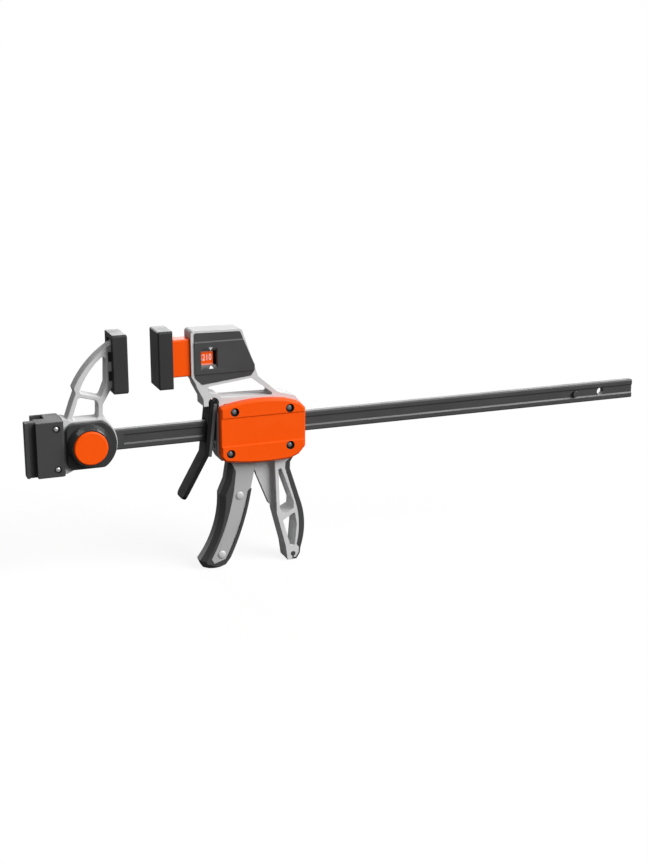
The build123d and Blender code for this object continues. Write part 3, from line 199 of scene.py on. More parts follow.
class ClampStage(bpy.types.PropertyGroup):
    """Camera, floor and light."""
    eye: FloatVectorProperty(
        name="Eye", description="Place of the camera", subtype="TRANSLATION", size=3, unit="LENGTH",
        default=(-0.5087, -1.2525, 0.4972))
    azimuth: FloatProperty(
        name="Azimuth", description="Camera's turn from the bar's side view", subtype="ANGLE",
        default=radians(21.05))
    elevation: FloatProperty(
        name="Elevation", description="Camera's dip below the horizon", subtype="ANGLE",
        default=radians(15.67))
    lens: FloatProperty(
        name="Lens", description="Focal length in millimetres", default=60.75, min=1, unit="CAMERA")
    floor: FloatVectorProperty(
        name="Floor", description="Colour of the floor", subtype="COLOR", size=3,
        default=(0.13, 0.13, 0.13), min=0, max=1)
    glow: FloatProperty(
        name="Floor glow", description="Floor's own brightness to the camera", default=0.866, min=0, max=1)
    ambient: FloatProperty(
        name="Ambient", description="Even light from all round", default=0.24, min=0)
    backdrop: FloatProperty(
        name="Backdrop", description="Brightness behind and above, as glossy faces see it", default=1.5,
        min=0)
    key: FloatProperty(
        name="Key light", description="Strength of the light from the front", default=4.1, min=0)
    rear: FloatProperty(
        name="Rear light", description="Strength of the light from behind", default=2.0, min=0)


def node(tree, kind, place, inputs=None, **values):
    """Add a node with its settings and the values of its inputs."""
    made = tree.nodes.new(kind)
    made.location = place
    for key, value in values.items():
        setattr(made, key, value)
    for key, value in (inputs or {}).items():
        made.inputs[key].default_value = value
    return made


def wire(tree, *joins):
    """Link nodes; a join is a node, its output, the next node and its input."""
    for giver, out, taker, into in joins:
        tree.links.new(giver.outputs[out], taker.inputs[into])


def new_group(name, kind, inputs, outputs):
    """A node group with named inputs and outputs, and the two nodes that hold them."""
    group = bpy.data.node_groups.new(name, kind)
    for label, sort, *default in inputs:
        made = group.interface.new_socket(label, in_out="INPUT", socket_type="NodeSocket" + sort)
        if default:
            made.default_value = default[0]
    for label, sort in outputs:
        group.interface.new_socket(label, in_out="OUTPUT", socket_type="NodeSocket" + sort)
    start = node(group, "NodeGroupInput", (-1300, 0))
    end = node(group, "NodeGroupOutput", (1000, 0))
    return group, start, end


def shared(name, build):
    """A node group by name, built the first time that it is asked for."""
    return bpy.data.node_groups.get(name) or build(name)


def mould_grain(name):
    """Group: fine surface grain and slow drift of tone over a piece."""
    group, start, end = new_group(
        name, "ShaderNodeTree",
        (("Vector", "Vector"), ("Grain scale", "Float", 2500.0), ("Drift scale", "Float", DRIFT_SCALE)),
        (("Grain", "Float"), ("Drift", "Float")))
    fine = node(group, "ShaderNodeTexNoise", (-300, 150), {"Detail": 2.0, "Roughness": 0.55})
    slow = node(group, "ShaderNodeTexNoise", (-300, -150), {"Detail": 3.0})
    wire(
        group,
        (start, "Vector", fine, "Vector"), (start, "Grain scale", fine, "Scale"),
        (start, "Vector", slow, "Vector"), (start, "Drift scale", slow, "Scale"),
        (fine, "Fac", end, "Grain"), (slow, "Fac", end, "Drift"))
    return group


def drawn_lines(name):
    """Group: fine lines that rolling, brushing or drawing leaves along a direction."""
    group, start, end = new_group(
        name, "ShaderNodeTree", (("Vector", "Vector"), ("Stretch", "Vector", (1.0, 1.0, 1.0))),
        (("Lines", "Float"), ("Drift", "Float")))
    scaled = node(group, "ShaderNodeVectorMath", (-450, 100), operation="MULTIPLY")
    lines = node(group, "ShaderNodeTexNoise", (-200, 100), {"Scale": 1.0, "Detail": 3.0})
    slow = node(group, "ShaderNodeTexNoise", (-200, -150), {"Scale": 35.0})
    wire(
        group,
        (start, "Vector", scaled, 0), (start, "Stretch", scaled, 1),
        (scaled, "Vector", lines, "Vector"), (start, "Vector", slow, "Vector"),
        (lines, "Fac", end, "Lines"), (slow, "Fac", end, "Drift"))
    return group


def tone_shift(name):
    """Group: a colour made a little lighter and darker by a mask."""
    group, start, end = new_group(
        name, "ShaderNodeTree",
        (("Colour", "Color", (0.5, 0.5, 0.5, 1.0)), ("Mask", "Float", 0.5), ("Amount", "Float", 0.1)),
        (("Colour", "Color"),))
    centred = node(group, "ShaderNodeMath", (-450, -80), {1: 0.5}, operation="SUBTRACT")
    spread = node(group, "ShaderNodeMath", (-250, -80), {2: 1.0}, operation="MULTIPLY_ADD")
    shaded = node(group, "ShaderNodeVectorMath", (0, 50), operation="SCALE")
    wire(
        group,
        (start, "Mask", centred, 0), (centred, 0, spread, 0), (start, "Amount", spread, 1),
        (start, "Colour", shaded, 0), (spread, 0, shaded, "Scale"), (shaded, "Vector", end, "Colour"))
    return group


def finish(name, colour, roughness, metallic=0.0, grain=2500.0, relief=0.03, tone=0.12, lines=None,
           rough_drift=0.12, specular=0.5):
    """A material with grain or drawn lines, a drift of tone, and uneven gloss.

    Its name is none of the frame's own material names, which would be found in its place.
    """
    found = bpy.data.materials.get(name)
    if found:
        return found
    material = bpy.data.materials.new(name)
    material.use_nodes = True
    tree = material.node_tree
    shader = tree.nodes["Principled BSDF"]
    shader.inputs["Metallic"].default_value = metallic
    shader.inputs["Specular IOR Level"].default_value = specular
    place = node(tree, "ShaderNodeTexCoord", (-1100, 0))
    if lines:
        marks = "Lines"
        pattern = node(
            tree, "ShaderNodeGroup", (-850, 0), {"Stretch": lines},
            node_tree=shared("Drawn lines", drawn_lines))
    else:
        marks = "Grain"
        pattern = node(
            tree, "ShaderNodeGroup", (-850, 0), {"Grain scale": grain, "Drift scale": DRIFT_SCALE},
            node_tree=shared("Mould grain", mould_grain))
    half = node(tree, "ShaderNodeMath", (-680, 20), {1: 0.5}, operation="MULTIPLY")
    mask = node(tree, "ShaderNodeMath", (-680, 200), {1: 0.5}, operation="MULTIPLY_ADD")
    shift = node(
        tree, "ShaderNodeGroup", (-500, 200), {"Colour": (*colour, 1.0), "Amount": tone},
        node_tree=shared("Tone shift", tone_shift))
    gloss = node(tree, "ShaderNodeMapRange", (-500, -100), {
        "From Min": 0.3, "From Max": 0.7,
        "To Min": roughness - rough_drift / 2, "To Max": roughness + rough_drift / 2})
    bump = node(tree, "ShaderNodeBump", (-300, -350), {"Strength": relief, "Distance": GRAIN_DEPTH})
    wire(
        tree,
        (place, "Object", pattern, "Vector"),
        (pattern, marks, half, 0), (pattern, "Drift", mask, 0), (half, 0, mask, 2),
        (mask, 0, shift, "Mask"), (shift, "Colour", shader, "Base Color"),
        (pattern, "Drift", gloss, "Value"), (gloss, "Result", shader, "Roughness"),
        (pattern, marks, bump, "Height"), (bump, "Normal", shader, "Normal"))
    return material


def finishes():
    """The clamp's materials, by name."""
    colours = bpy.context.scene.clamp_colours
    return {
        "orange": finish("moulded_orange", colours.orange, 0.40, tone=0.10, specular=0.2),
        "dark": finish(
            "moulded_dark", colours.dark_plastic, 0.50, relief=0.05, tone=0.22, specular=0.08),
        "panel": finish("panel_plastic", colours.panel, 0.36, relief=0.04, tone=0.2),
        "gloss": finish(
            "gloss_plastic", colours.pad, 0.16, relief=0.006, tone=0.15, rough_drift=0.04),
        "pad": finish("moulded_pad", colours.pad, 0.36, tone=0.22, specular=0.18),
        "casting": finish(
            "cast_silver", colours.casting, 0.6, grain=1600.0, relief=0.07, tone=0.08, specular=0.08),
        "sheet": finish(
            "satin_sheet", colours.sheet, 0.42, metallic=0.15, tone=0.10, lines=(300.0, 300.0, 5000.0)),
        "bar": finish(
            "blackened_bar", colours.bar, 0.46, metallic=0.25, relief=0.05, tone=0.25,
            lines=(60.0, 5000.0, 5000.0)),
        "lever": finish(
            "black_lever", colours.lever, 0.6, grain=1800.0, relief=0.05, tone=0.25, specular=0.1),
        # Painted shade: the near-black finish of the cups that stand in for the shadow in screw recesses
        "shade": finish("painted_shade_recess", colours.recess, 0.6, relief=0.02, tone=0.1, specular=0.2),
        "rivet": finish(
            "satin_rivet", colours.rivet, 0.48, metallic=0.15, grain=1500.0, relief=0.02, tone=0.08),
        "brake": finish(
            "grey_plate", colours.brake, 0.40, metallic=0.2, grain=1800.0, relief=0.05, tone=0.2),
        "rubber": finish("soft_grip", colours.rubber, 0.44, grain=2200.0, relief=0.08, tone=0.25),
        "bright": finish(
            "bright_steel", colours.bright, 0.30, metallic=0.6, relief=0.02, tone=0.08,
            lines=(900.0, 900.0, 900.0)),
        "dome": finish("dark_screw", colours.screw, 0.34, metallic=0.3, grain=1500.0, tone=0.2),
        "coil": finish("dark_coil", colours.lever, 0.36, metallic=0.3, grain=1500.0, tone=0.2),
        "mark": finish("white_mark", colours.marking, 0.5, relief=0.02, tone=0.05),
    }


def add_piece(name, mesh, body, material):
    """Link a finished mesh as a piece that rides on a body."""
    piece = bpy.data.objects.new(name, mesh)
    bpy.context.scene.collection.objects.link(piece)
    mesh.materials.clear()
    mesh.materials.append(material)
    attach(piece, body)
    return piece


def plain_mesh(source, name):
    """The evaluated mesh of an object, as a plain mesh; the object goes."""
    graph = bpy.context.evaluated_depsgraph_get()
    mesh = bpy.data.meshes.new_from_object(
        source.evaluated_get(graph), preserve_all_data_layers=True, depsgraph=graph)
    mesh.name = name
    bpy.data.objects.remove(source)
    return mesh


def sharp_edges(shape, angle):
    """Edges whose two faces meet at more than an angle."""
    return [
        edge for edge in shape.edges
        if len(edge.link_faces) == 2 and edge.calc_face_angle(0.0) > radians(angle)]


def rounded(node_name, body, material, width, steps, soft=None, soft_width=0.0, reshape=None):
    """A copy of a CAD node with merged faces and rounded edges, in place of the node.

    reshape moves corners first, and the edges that soft picks get a rounding of their own width.
    """
    mesh = NODES[node_name].data.copy()
    shape = bmesh.new()
    shape.from_mesh(mesh)
    bmesh.ops.remove_doubles(shape, verts=shape.verts, dist=MERGE)
    bmesh.ops.dissolve_limit(
        shape, angle_limit=radians(FLAT_ANGLE), use_dissolve_boundaries=False, verts=shape.verts,
        edges=shape.edges)
    if reshape:
        reshape(shape)
    if soft:
        chosen = [edge for edge in sharp_edges(shape, SHARP_ANGLE) if soft(edge)]
        bmesh.ops.bevel(
            shape, geom=chosen, offset=soft_width, offset_type="OFFSET", segments=steps + 1, profile=0.5,
            affect="EDGES", clamp_overlap=True)
    for face in shape.faces:
        face.smooth = True
    shape.to_mesh(mesh)
    shape.free()
    # The CAD's own normals no longer fit the merged faces
    if "custom_normal" in mesh.attributes:
        mesh.attributes.remove(mesh.attributes["custom_normal"])
    source = bpy.data.objects.new(node_name + "_edges", mesh)
    bpy.context.scene.collection.objects.link(source)
    bevel = source.modifiers.new("Rounded edges", "BEVEL")
    bevel.width = width
    bevel.segments = steps
    bevel.limit_method = "ANGLE"
    bevel.angle_limit = radians(SHARP_ANGLE)
    bevel.use_clamp_overlap = True
    bevel.miter_outer = "MITER_ARC"
    flat = source.modifiers.new("Flat faces", "WEIGHTED_NORMAL")
    flat.mode = "FACE_AREA"
    flat.weight = 50
    bpy.context.view_layer.update()
    mesh = plain_mesh(source, node_name + "_piece")
    piece = add_piece(node_name + "_piece", mesh, body, material)
    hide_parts(node_name)


def slide_corners(shape, depth, moves):
    """Slide the corners of a face at a depth along Z, to turn a step beside it into a slope."""
    for corner in shape.verts:
        if abs(abs(corner.co.y) - depth) < MATCH:
            for height, slide in moves:
                if abs(corner.co.z - BAR_MIDDLE.z - height) < MATCH:
                    corner.co.z += slide
                    break


def lathe(name, profile, steps=28):
    """A closed mesh turned about Z from places of radius and height, low end first."""
    shape = bmesh.new()
    rings = []
    for radius, height in profile:
        if radius == 0:
            rings.append([shape.verts.new((0, 0, height))])
        else:
            turns = [2 * pi * s / steps for s in range(steps)]
            rings.append([shape.verts.new((radius * cos(t), radius * sin(t), height)) for t in turns])
    for low, high in zip(rings, rings[1:]):
        for s in range(steps):
            t = (s + 1) % steps
            if len(low) == 1:
                shape.faces.new((low[0], high[t], high[s]))
            elif len(high) == 1:
                shape.faces.new((low[s], low[t], high[0]))
            else:
                shape.faces.new((low[s], low[t], high[t], high[s]))
    for face in shape.faces:
        face.smooth = True
    for edge in sharp_edges(shape, CREASE_ANGLE):
        edge.smooth = False
    mesh = bpy.data.meshes.new(name)
    shape.to_mesh(mesh)
    shape.free()
    return mesh


def dome(radius, low, top, steps=6):
    """Places of a domed head from its rim to its middle; the lowest quarter is upright."""
    rim = low + (top - low) * 0.25
    turns = [pi / 2 * s / steps for s in range(1, steps)]
    crown = [(radius * cos(t), rim + (top - rim) * sin(t)) for t in turns]
    return [(radius, low), (radius, rim)] + crown + [(0.0, top)]


def liner(head, recess, seat, top):
    """Places of a near-black cup in a screw recess, open round the head, from the seat to the top: painted
    shade that stands in for the shadow in the recess.
    """
    gap, lip, wall, thickness = 0.0001, 0.00009, 0.00027, 0.0003
    inner = head + gap
    low = seat + gap
    floor = low + thickness
    return [
        (inner, low), (recess, low), (recess, top), (recess - lip, top), (recess - wall, floor),
        (inner, floor), (inner, low)]


def heads_tree(name):
    """Geometry nodes: a fastener on every point, turned to the point's facing."""
    tree, start, end = new_group(
        name, "GeometryNodeTree",
        (("Points", "Geometry"), ("Fastener", "Object"), ("Material", "Material")),
        (("Geometry", "Geometry"),))
    shape = node(tree, "GeometryNodeObjectInfo", (-600, -200))
    facing = node(
        tree, "GeometryNodeInputNamedAttribute", (-600, -450), data_type="FLOAT_VECTOR",
        inputs={"Name": "facing"})
    turn = node(tree, "FunctionNodeAlignRotationToVector", (-350, -350), axis="Z")
    copies = node(tree, "GeometryNodeInstanceOnPoints", (-50, 0))
    real = node(tree, "GeometryNodeRealizeInstances", (200, 0))
    paint = node(tree, "GeometryNodeSetMaterial", (450, 0))
    wire(
        tree,
        (start, "Points", copies, "Points"), (start, "Fastener", shape, "Object"),
        (shape, "Geometry", copies, "Instance"),
        (facing, "Attribute", turn, "Vector"), (turn, "Rotation", copies, "Rotation"),
        (copies, "Instances", real, "Geometry"), (real, "Geometry", paint, "Geometry"),
        (start, "Material", paint, "Material"), (paint, "Geometry", end, "Geometry"))
    return tree


def spring_tree(name):
    """Geometry nodes: a coil about Z with closed end turns."""
    tree, start, end = new_group(
        name, "GeometryNodeTree",
        (("Turns", "Float", 4.0), ("Radius", "Float", 0.005), ("Length", "Float", 0.02),
         ("Wire", "Float", 0.0005), ("Material", "Material")),
        (("Geometry", "Geometry"),))
    coil = node(tree, "GeometryNodeCurveSpiral", (-1000, 200), {"Resolution": 32, "Height": 1.0})
    along = node(tree, "GeometryNodeSplineParameter", (-1000, -150))
    # The coil climbs slowly at both ends, where its turns close
    climb = node(tree, "ShaderNodeFloatCurve", (-800, -150))
    curve = climb.mapping.curves[0]
    for point, share in zip(curve.points, (0.0, 1.0)):
        point.location = (share, share)
    for share, height in ((0.14, 0.02), (0.24, 0.13), (0.76, 0.87), (0.86, 0.98)):
        curve.points.new(share, height)
    climb.mapping.update()
    inner = node(tree, "ShaderNodeMath", (-800, -450), {1: -2.0}, operation="MULTIPLY_ADD")
    height = node(tree, "ShaderNodeMath", (-500, -250), operation="MULTIPLY_ADD")
    where = node(tree, "GeometryNodeInputPosition", (-800, -700))
    apart = node(tree, "ShaderNodeSeparateXYZ", (-550, -700))
    joined = node(tree, "ShaderNodeCombineXYZ", (-250, -450))
    place = node(tree, "GeometryNodeSetPosition", (0, 100))
    ring = node(tree, "GeometryNodeCurvePrimitiveCircle", (0, -200), {"Resolution": 10})
    tube = node(tree, "GeometryNodeCurveToMesh", (300, 100), {"Fill Caps": True})
    real = node(tree, "GeometryNodeRealizeInstances", (480, 100))
    paint = node(tree, "GeometryNodeSetMaterial", (680, 100))
    wire(
        tree,
        (start, "Turns", coil, "Rotations"),
        (start, "Radius", coil, "Start Radius"), (start, "Radius", coil, "End Radius"),
        (along, "Factor", climb, "Value"),
        (start, "Wire", inner, 0), (start, "Length", inner, 2),
        (climb, "Value", height, 0), (inner, 0, height, 1), (start, "Wire", height, 2),
        (where, "Position", apart, "Vector"),
        (apart, "X", joined, "X"), (apart, "Y", joined, "Y"), (height, 0, joined, "Z"),
        (coil, "Curve", place, "Geometry"), (joined, "Vector", place, "Position"),
        (start, "Wire", ring, "Radius"),
        (place, "Geometry", tube, "Curve"), (ring, "Curve", tube, "Profile Curve"),
        (tube, "Mesh", real, "Geometry"), (real, "Geometry", paint, "Geometry"),
        (start, "Material", paint, "Material"), (paint, "Geometry", end, "Geometry"))
    return tree


def ticks_tree(name):
    """Geometry nodes: a row of scale marks on every point."""
    tree, start, end = new_group(
        name, "GeometryNodeTree",
        (("Points", "Geometry"), ("Count", "Int", 10), ("Step", "Vector", (0.001, 0.0, 0.0)),
         ("Size", "Vector", (0.0003, 0.0002, 0.001)), ("Material", "Material")),
        (("Geometry", "Geometry"),))
    row = node(tree, "GeometryNodeMeshLine", (-600, -200), mode="OFFSET")
    rows = node(tree, "GeometryNodeInstanceOnPoints", (-300, 0))
    spread_out = node(tree, "GeometryNodeRealizeInstances", (-50, 0))
    mark = node(tree, "GeometryNodeMeshCube", (-50, -250))
    marks = node(tree, "GeometryNodeInstanceOnPoints", (250, 0))
    real = node(tree, "GeometryNodeRealizeInstances", (500, 0))
    paint = node(tree, "GeometryNodeSetMaterial", (750, 0))
    wire(
        tree,
        (start, "Count", row, "Count"), (start, "Step", row, "Offset"),
        (start, "Points", rows, "Points"), (row, "Mesh", rows, "Instance"),
        (rows, "Instances", spread_out, "Geometry"), (spread_out, "Geometry", marks, "Points"),
        (start, "Size", mark, "Size"), (mark, "Mesh", marks, "Instance"),
        (marks, "Instances", real, "Geometry"), (real, "Geometry", paint, "Geometry"),
        (start, "Material", paint, "Material"), (paint, "Geometry", end, "Geometry"))
    return tree


def grown(name, tree, points, **values):
    """The plain mesh that a geometry node tree makes from points."""
    mesh = bpy.data.meshes.new(name)
    mesh.from_pydata([tuple(place) for place, facing in points], [], [])
    facings = mesh.attributes.new("facing", "FLOAT_VECTOR", "POINT")
    for index, (place, facing) in enumerate(points):
        facings.data[index].vector = facing
    source = bpy.data.objects.new(name, mesh)
    bpy.context.scene.collection.objects.link(source)
    modifier = source.modifiers.new(tree.name, "NODES")
    modifier.node_group = tree
    items = tree.interface.items_tree
    sockets = {item.name: item.identifier for item in items if item.in_out == "INPUT"}
    for key, value in values.items():
        modifier[sockets[key.capitalize()]] = value
    bpy.context.view_layer.update()
    return plain_mesh(source, name)


def turned(name, body, material, profile, points):
    """Turned shapes on points, each facing its point's way."""
    model = bpy.data.objects.new(name + "_model", lathe(name + "_model", profile))
    bpy.context.scene.collection.objects.link(model)
    tree = shared("Fasteners on points", heads_tree)
    mesh = grown(name + "_piece", tree, points, fastener=model, material=material)
    bpy.data.objects.remove(model)
    return add_piece(name + "_piece", mesh, body, material)


def fasteners(node_name, body, material, profile, points):
    """Turned fasteners on points, in place of a CAD node."""
    piece = turned(node_name, body, material, profile, points)
    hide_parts(node_name)


def wound(node_name, body, material, turns, wire_radius, axis):
    """A round wire spring inside its CAD node's box, from the box's low end along its axis."""
    low, high = box_of(node_name)
    index = "XYZ".index(axis)
    length = high[index] - low[index]
    across = (index + 2) % 3
    radius = (high[across] - low[across]) / 2 - wire_radius
    mesh = grown(
        node_name + "_piece", shared("Wound spring", spring_tree), [((0, 0, 0), (0, 0, 1))], turns=turns,
        radius=radius, length=length, wire=wire_radius, material=material)
    turn = Matrix.Rotation(pi / 2, 4, "Y") if axis == "X" else Matrix.Rotation(-pi / 2, 4, "X")
    foot = (low + high) / 2
    foot[index] = low[index]
    mesh.transform(Matrix.Translation(foot) @ turn)
    for face in mesh.polygons:
        face.use_smooth = True
    piece = add_piece(node_name + "_piece", mesh, body, material)
    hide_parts(node_name)
    along = Vector((0, 0, 0))
    along[index] = 1.0
    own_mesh(piece)


def dress(node_name, material):
    """Give a CAD node that stays a better material."""
    mesh = NODES[node_name].data
    mesh.materials.clear()
    mesh.materials.append(material)


class CLAMP_OT_castings(bpy.types.Operator):
    """Round the edges of the open fixed jaw and the moving jaw casting"""
    bl_idname = "clamp.castings"
    bl_label = "Castings"

    def execute(self, context):
        looks = finishes()
        edges = context.scene.clamp_edges
        rounded("fixed_jaw", "frame", looks["casting"], edges.casting, edges.steps)
        rounded("jaw_body", "moving_jaw", looks["casting"], edges.casting, edges.steps)
        return {"FINISHED"}


class CLAMP_OT_bar(bpy.types.Operator):
    """Finish the grooved bar and its stop pin"""
    bl_idname = "clamp.bar"
    bl_label = "Bar"

    def execute(self, context):
        looks = finishes()
        edges = context.scene.clamp_edges
        steps = edges.steps - 1
        rounded("bar", "frame", looks["bar"], edges.plastic, steps)
        rounded("stop_pin", "frame", looks["bar"], edges.plastic, steps)
        return {"FINISHED"}


class CLAMP_OT_pads(bpy.types.Operator):
    """Finish the two moulded jaw pads"""
    bl_idname = "clamp.pads"
    bl_label = "Jaw pads"

    def execute(self, context):
        looks = finishes()
        edges = context.scene.clamp_edges
        rounded("fixed_jaw_pad", "frame", looks["pad"], edges.plastic, edges.steps)
        rounded("moving_jaw_pad", "plunger", looks["pad"], edges.plastic, edges.steps)
        return {"FINISHED"}


class CLAMP_OT_lock(bpy.types.Operator):
    """Finish the lock's button, housing, rear cap, yoke and spring"""
    bl_idname = "clamp.lock"
    bl_label = "Lock"

    def funnel(self, shape):
        """Sink the boss's inner rim, so that a dark ring runs round the button."""
        rim_reach, rim_drop = 0.016, 0.0016
        low, high = box_of("lock_button")
        middle = (low + high) / 2
        front = min(corner.co.y for corner in shape.verts)
        for corner in shape.verts:
            reach = Vector((corner.co.x - middle.x, corner.co.z - middle.z)).length
            if corner.co.y < front + MATCH and reach < rim_reach:
                corner.co.y += rim_drop

    def execute(self, context):
        looks = finishes()
        edges = context.scene.clamp_edges
        rounded(
            "lock_housing", "frame", looks["gloss"], edges.plastic, edges.steps,
            reshape=self.funnel)
        rounded("lock_cap", "frame", looks["gloss"], edges.plastic, edges.steps)
        rounded(
            "lock_button", "lock_button", looks["orange"], edges.plastic, edges.steps)
        dress("lock_yoke", looks["bright"])
        wound(
            "lock_spring", "frame", looks["bright"], turns=6.0, wire_radius=0.0006, axis="Y")
        return {"FINISHED"}


class CLAMP_OT_coupling(bpy.types.Operator):
    """Finish the coupling block and its screws"""
    bl_idname = "clamp.coupling"
    bl_label = "Coupling block"

    def execute(self, context):
        looks = finishes()
        edges = context.scene.clamp_edges
        head = context.scene.clamp_heads.coupling
        rounded("coupling_block", "frame", looks["dark"], edges.plastic * 2, edges.steps)
        low, high = box_of("coupling_screws")
        cad_head, head_height, shank, recess = 0.003, 0.0014, 0.002, 0.00317
        middle = (low.x + high.x) / 2
        facing = Vector((0, -1, 0))
        points = [
            (Vector((middle, high.y, z)), facing) for z in (low.z + cad_head, high.z - cad_head)]
        depth = high.y - low.y
        seat = depth - head_height
        profile = [(0.0, 0.0), (shank, 0.0), (shank, seat)] + dome(head, seat, depth)
        fasteners("coupling_screws", "frame", looks["bright"], profile, points)
        # Painted shade: near-black cups in the screw recesses stand in for the shadow round the heads
        shade_cup = liner(head, recess, seat, depth)
        turned("coupling_liners", "frame", looks["shade"], shade_cup, points)
        return {"FINISHED"}


class CLAMP_OT_covers(bpy.types.Operator):
    """Finish the two orange covers and their screws"""
    bl_idname = "clamp.covers"
    bl_label = "Covers"

    def execute(self, context):
        looks = finishes()
        edges = context.scene.clamp_edges
        heads = context.scene.clamp_heads
        front = -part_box("cover_front")[0][1]
        for side in ("front", "rear"):
            rounded(
                "cover_" + side, "moving_jaw", looks["orange"], edges.plastic,
                edges.steps, reshape=lambda shape: slide_corners(shape, front, COVER_STEPS))
        seat, shank, shank_length, recess, recess_depth = 0.0145, 0.00185, 0.011, 0.00407, 0.0039
        points = [
            (jaw_place(x, side * seat, z), Vector((0, side, 0)))
            for x, z in COVER_SCREWS for side in (-1, 1)]
        profile = [(0.0, -shank_length), (shank, -shank_length), (shank, 0.0)]
        profile += dome(heads.cover, 0.0, heads.cover_height)
        fasteners("cover_screws", "moving_jaw", looks["dome"], profile, points)
        # Painted shade: near-black cups in the screw recesses stand in for the shadow round the heads
        shade_cup = liner(heads.cover, recess, 0.0, recess_depth)
        turned("recess_liners", "moving_jaw", looks["shade"], shade_cup, points)
        return {"FINISHED"}


class CLAMP_OT_gauge(bpy.types.Operator):
    """Finish the gauge panels, the plunger and its spring"""
    bl_idname = "clamp.gauge"
    bl_label = "Gauge"

    def at_window_corner(self, edge):
        """Whether an edge runs inwards from one of the window's four corners."""
        least_run = 1e-4
        window = jaw_place(WINDOW_X, 0.0, WINDOW_Z)
        run = edge.verts[1].co - edge.verts[0].co
        inside = all(
            abs(corner.co.x - window.x) < WINDOW_REACH_X and abs(corner.co.z - window.z) < WINDOW_REACH_Z
            for corner in edge.verts)
        return inside and abs(run.y) > least_run

    def execute(self, context):
        looks = finishes()
        edges = context.scene.clamp_edges
        front = -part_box("gauge_panel_front")[0][1]
        for side in ("front", "rear"):
            rounded(
                "gauge_panel_" + side, "moving_jaw", looks["panel"], edges.plastic,
                edges.steps, soft=self.at_window_corner, soft_width=edges.window,
                reshape=lambda shape: slide_corners(shape, front, PANEL_STEPS))
        rounded("plunger", "plunger", looks["orange"], edges.plastic, edges.steps)
        dress("guide_rod", looks["coil"])
        wound(
            "force_spring", "moving_jaw", looks["coil"], turns=6.0, wire_radius=0.0013, axis="X")
        return {"FINISHED"}


class CLAMP_OT_scale(bpy.types.Operator):
    """Print the force scale on the plunger and the pointers on the gauge windows"""
    bl_idname = "clamp.scale"
    bl_label = "Scale"

    print_thickness = 0.00012
    row_reach = 0.0061      # rows of marks above and below the window's middle
    marks_past = 3          # marks of a row from the pointer on
    numbers = 4             # numbers, from 0 at the pointer
    number_step = 3         # marks from one number to the next
    font_share = 1.35       # font size over the height of a number
    narrow = 0.62           # width of a number over the font's own

    def number(self, context, digit, place, side):
        """The mesh of one number on the plunger's front or rear."""
        gauge = context.scene.clamp_gauge
        words = bpy.data.curves.new("digit", "FONT")
        words.body = str(digit)
        words.align_x = "CENTER"
        words.align_y = "CENTER"
        words.size = gauge.digit_height * self.font_share
        words.extrude = self.print_thickness / 2
        letter = bpy.data.objects.new("digit", words)
        context.scene.collection.objects.link(letter)
        context.view_layer.update()
        mesh = plain_mesh(letter, "digit")
        stand = Matrix.Rotation(pi / 2, 4, "X")
        if side > 0:
            stand = Matrix.Rotation(pi, 4, "Z") @ stand
        mesh.transform(Matrix.Translation(place) @ stand @ Matrix.Diagonal((self.narrow, 1.0, 1.0, 1.0)))
        return mesh

    def scale(self, context, material):
        """The marks and numbers on both sides of the plunger, as one mesh."""
        gauge = context.scene.clamp_gauge
        low, high = box_of("plunger")
        sides = ((low.y, -1.0), (high.y, 1.0))
        first = gauge.pointer_x - gauge.tick_step * (gauge.ticks - self.marks_past)
        rows = [
            (jaw_place(first, y, WINDOW_Z + row), Vector((0, 0, 1)))
            for y, side in sides for row in (self.row_reach, -self.row_reach)]
        marks = grown(
            "scale_marks", shared("Scale marks", ticks_tree), rows, count=gauge.ticks,
            step=(gauge.tick_step, 0.0, 0.0),
            size=(gauge.tick_width, self.print_thickness, gauge.tick_height), material=material)
        shape = bmesh.new()
        shape.from_mesh(marks)
        for y, side in sides:
            for digit in range(self.numbers):
                x = gauge.pointer_x - self.number_step * digit * gauge.tick_step
                shape.from_mesh(self.number(context, digit, jaw_place(x, y, WINDOW_Z), side))
        shape.to_mesh(marks)
        shape.free()
        return marks

    def pointers(self, context):
        """The four triangles that point at the scale, as one mesh."""
        gauge = context.scene.clamp_gauge
        tip_reach, root_reach, tip_sink, thickness = 0.0069, 0.0098, 0.0013, 0.0005
        left = gauge.pointer_x - gauge.pointer_width / 2
        right = gauge.pointer_x + gauge.pointer_width / 2
        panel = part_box("gauge_panel_front")[0][1]
        shape = bmesh.new()
        for side in (1.0, -1.0):
            for up in (1.0, -1.0):
                tip, root = WINDOW_Z + up * tip_reach, WINDOW_Z + up * root_reach
                corners = ((gauge.pointer_x, tip, tip_sink), (left, root, 0.0), (right, root, 0.0))
                outer, inner = (
                    [
                        shape.verts.new(jaw_place(x, side * (panel + deep + below), z))
                        for x, z, deep in corners]
                    for below in (0.0, thickness))
                shape.faces.new(outer)
                shape.faces.new(inner[::-1])
                for one in range(3):
                    two = (one + 1) % 3
                    shape.faces.new((outer[one], inner[one], inner[two], outer[two]))
        bmesh.ops.recalc_face_normals(shape, faces=shape.faces)
        mesh = bpy.data.meshes.new("pointers")
        shape.to_mesh(mesh)
        shape.free()
        return mesh

    def execute(self, context):
        look = finishes()["mark"]
        add_piece("scale_piece", self.scale(context, look), "plunger", look)
        add_piece("pointers_piece", self.pointers(context), "moving_jaw", look)
        return {"FINISHED"}


class CLAMP_OT_lever(bpy.types.Operator):
    """Finish the release lever, the brake plate and its spring"""
    bl_idname = "clamp.lever"
    bl_label = "Release lever"

    def execute(self, context):
        looks = finishes()
        edges = context.scene.clamp_edges
        rounded("release_lever", "release_lever", looks["lever"], edges.sheet, edges.steps)
        rounded("brake_plate", "release_lever", looks["brake"], edges.sheet, edges.steps)
        wound(
            "brake_spring", "moving_jaw", looks["bright"], turns=4.5, wire_radius=0.00045, axis="X")
        return {"FINISHED"}


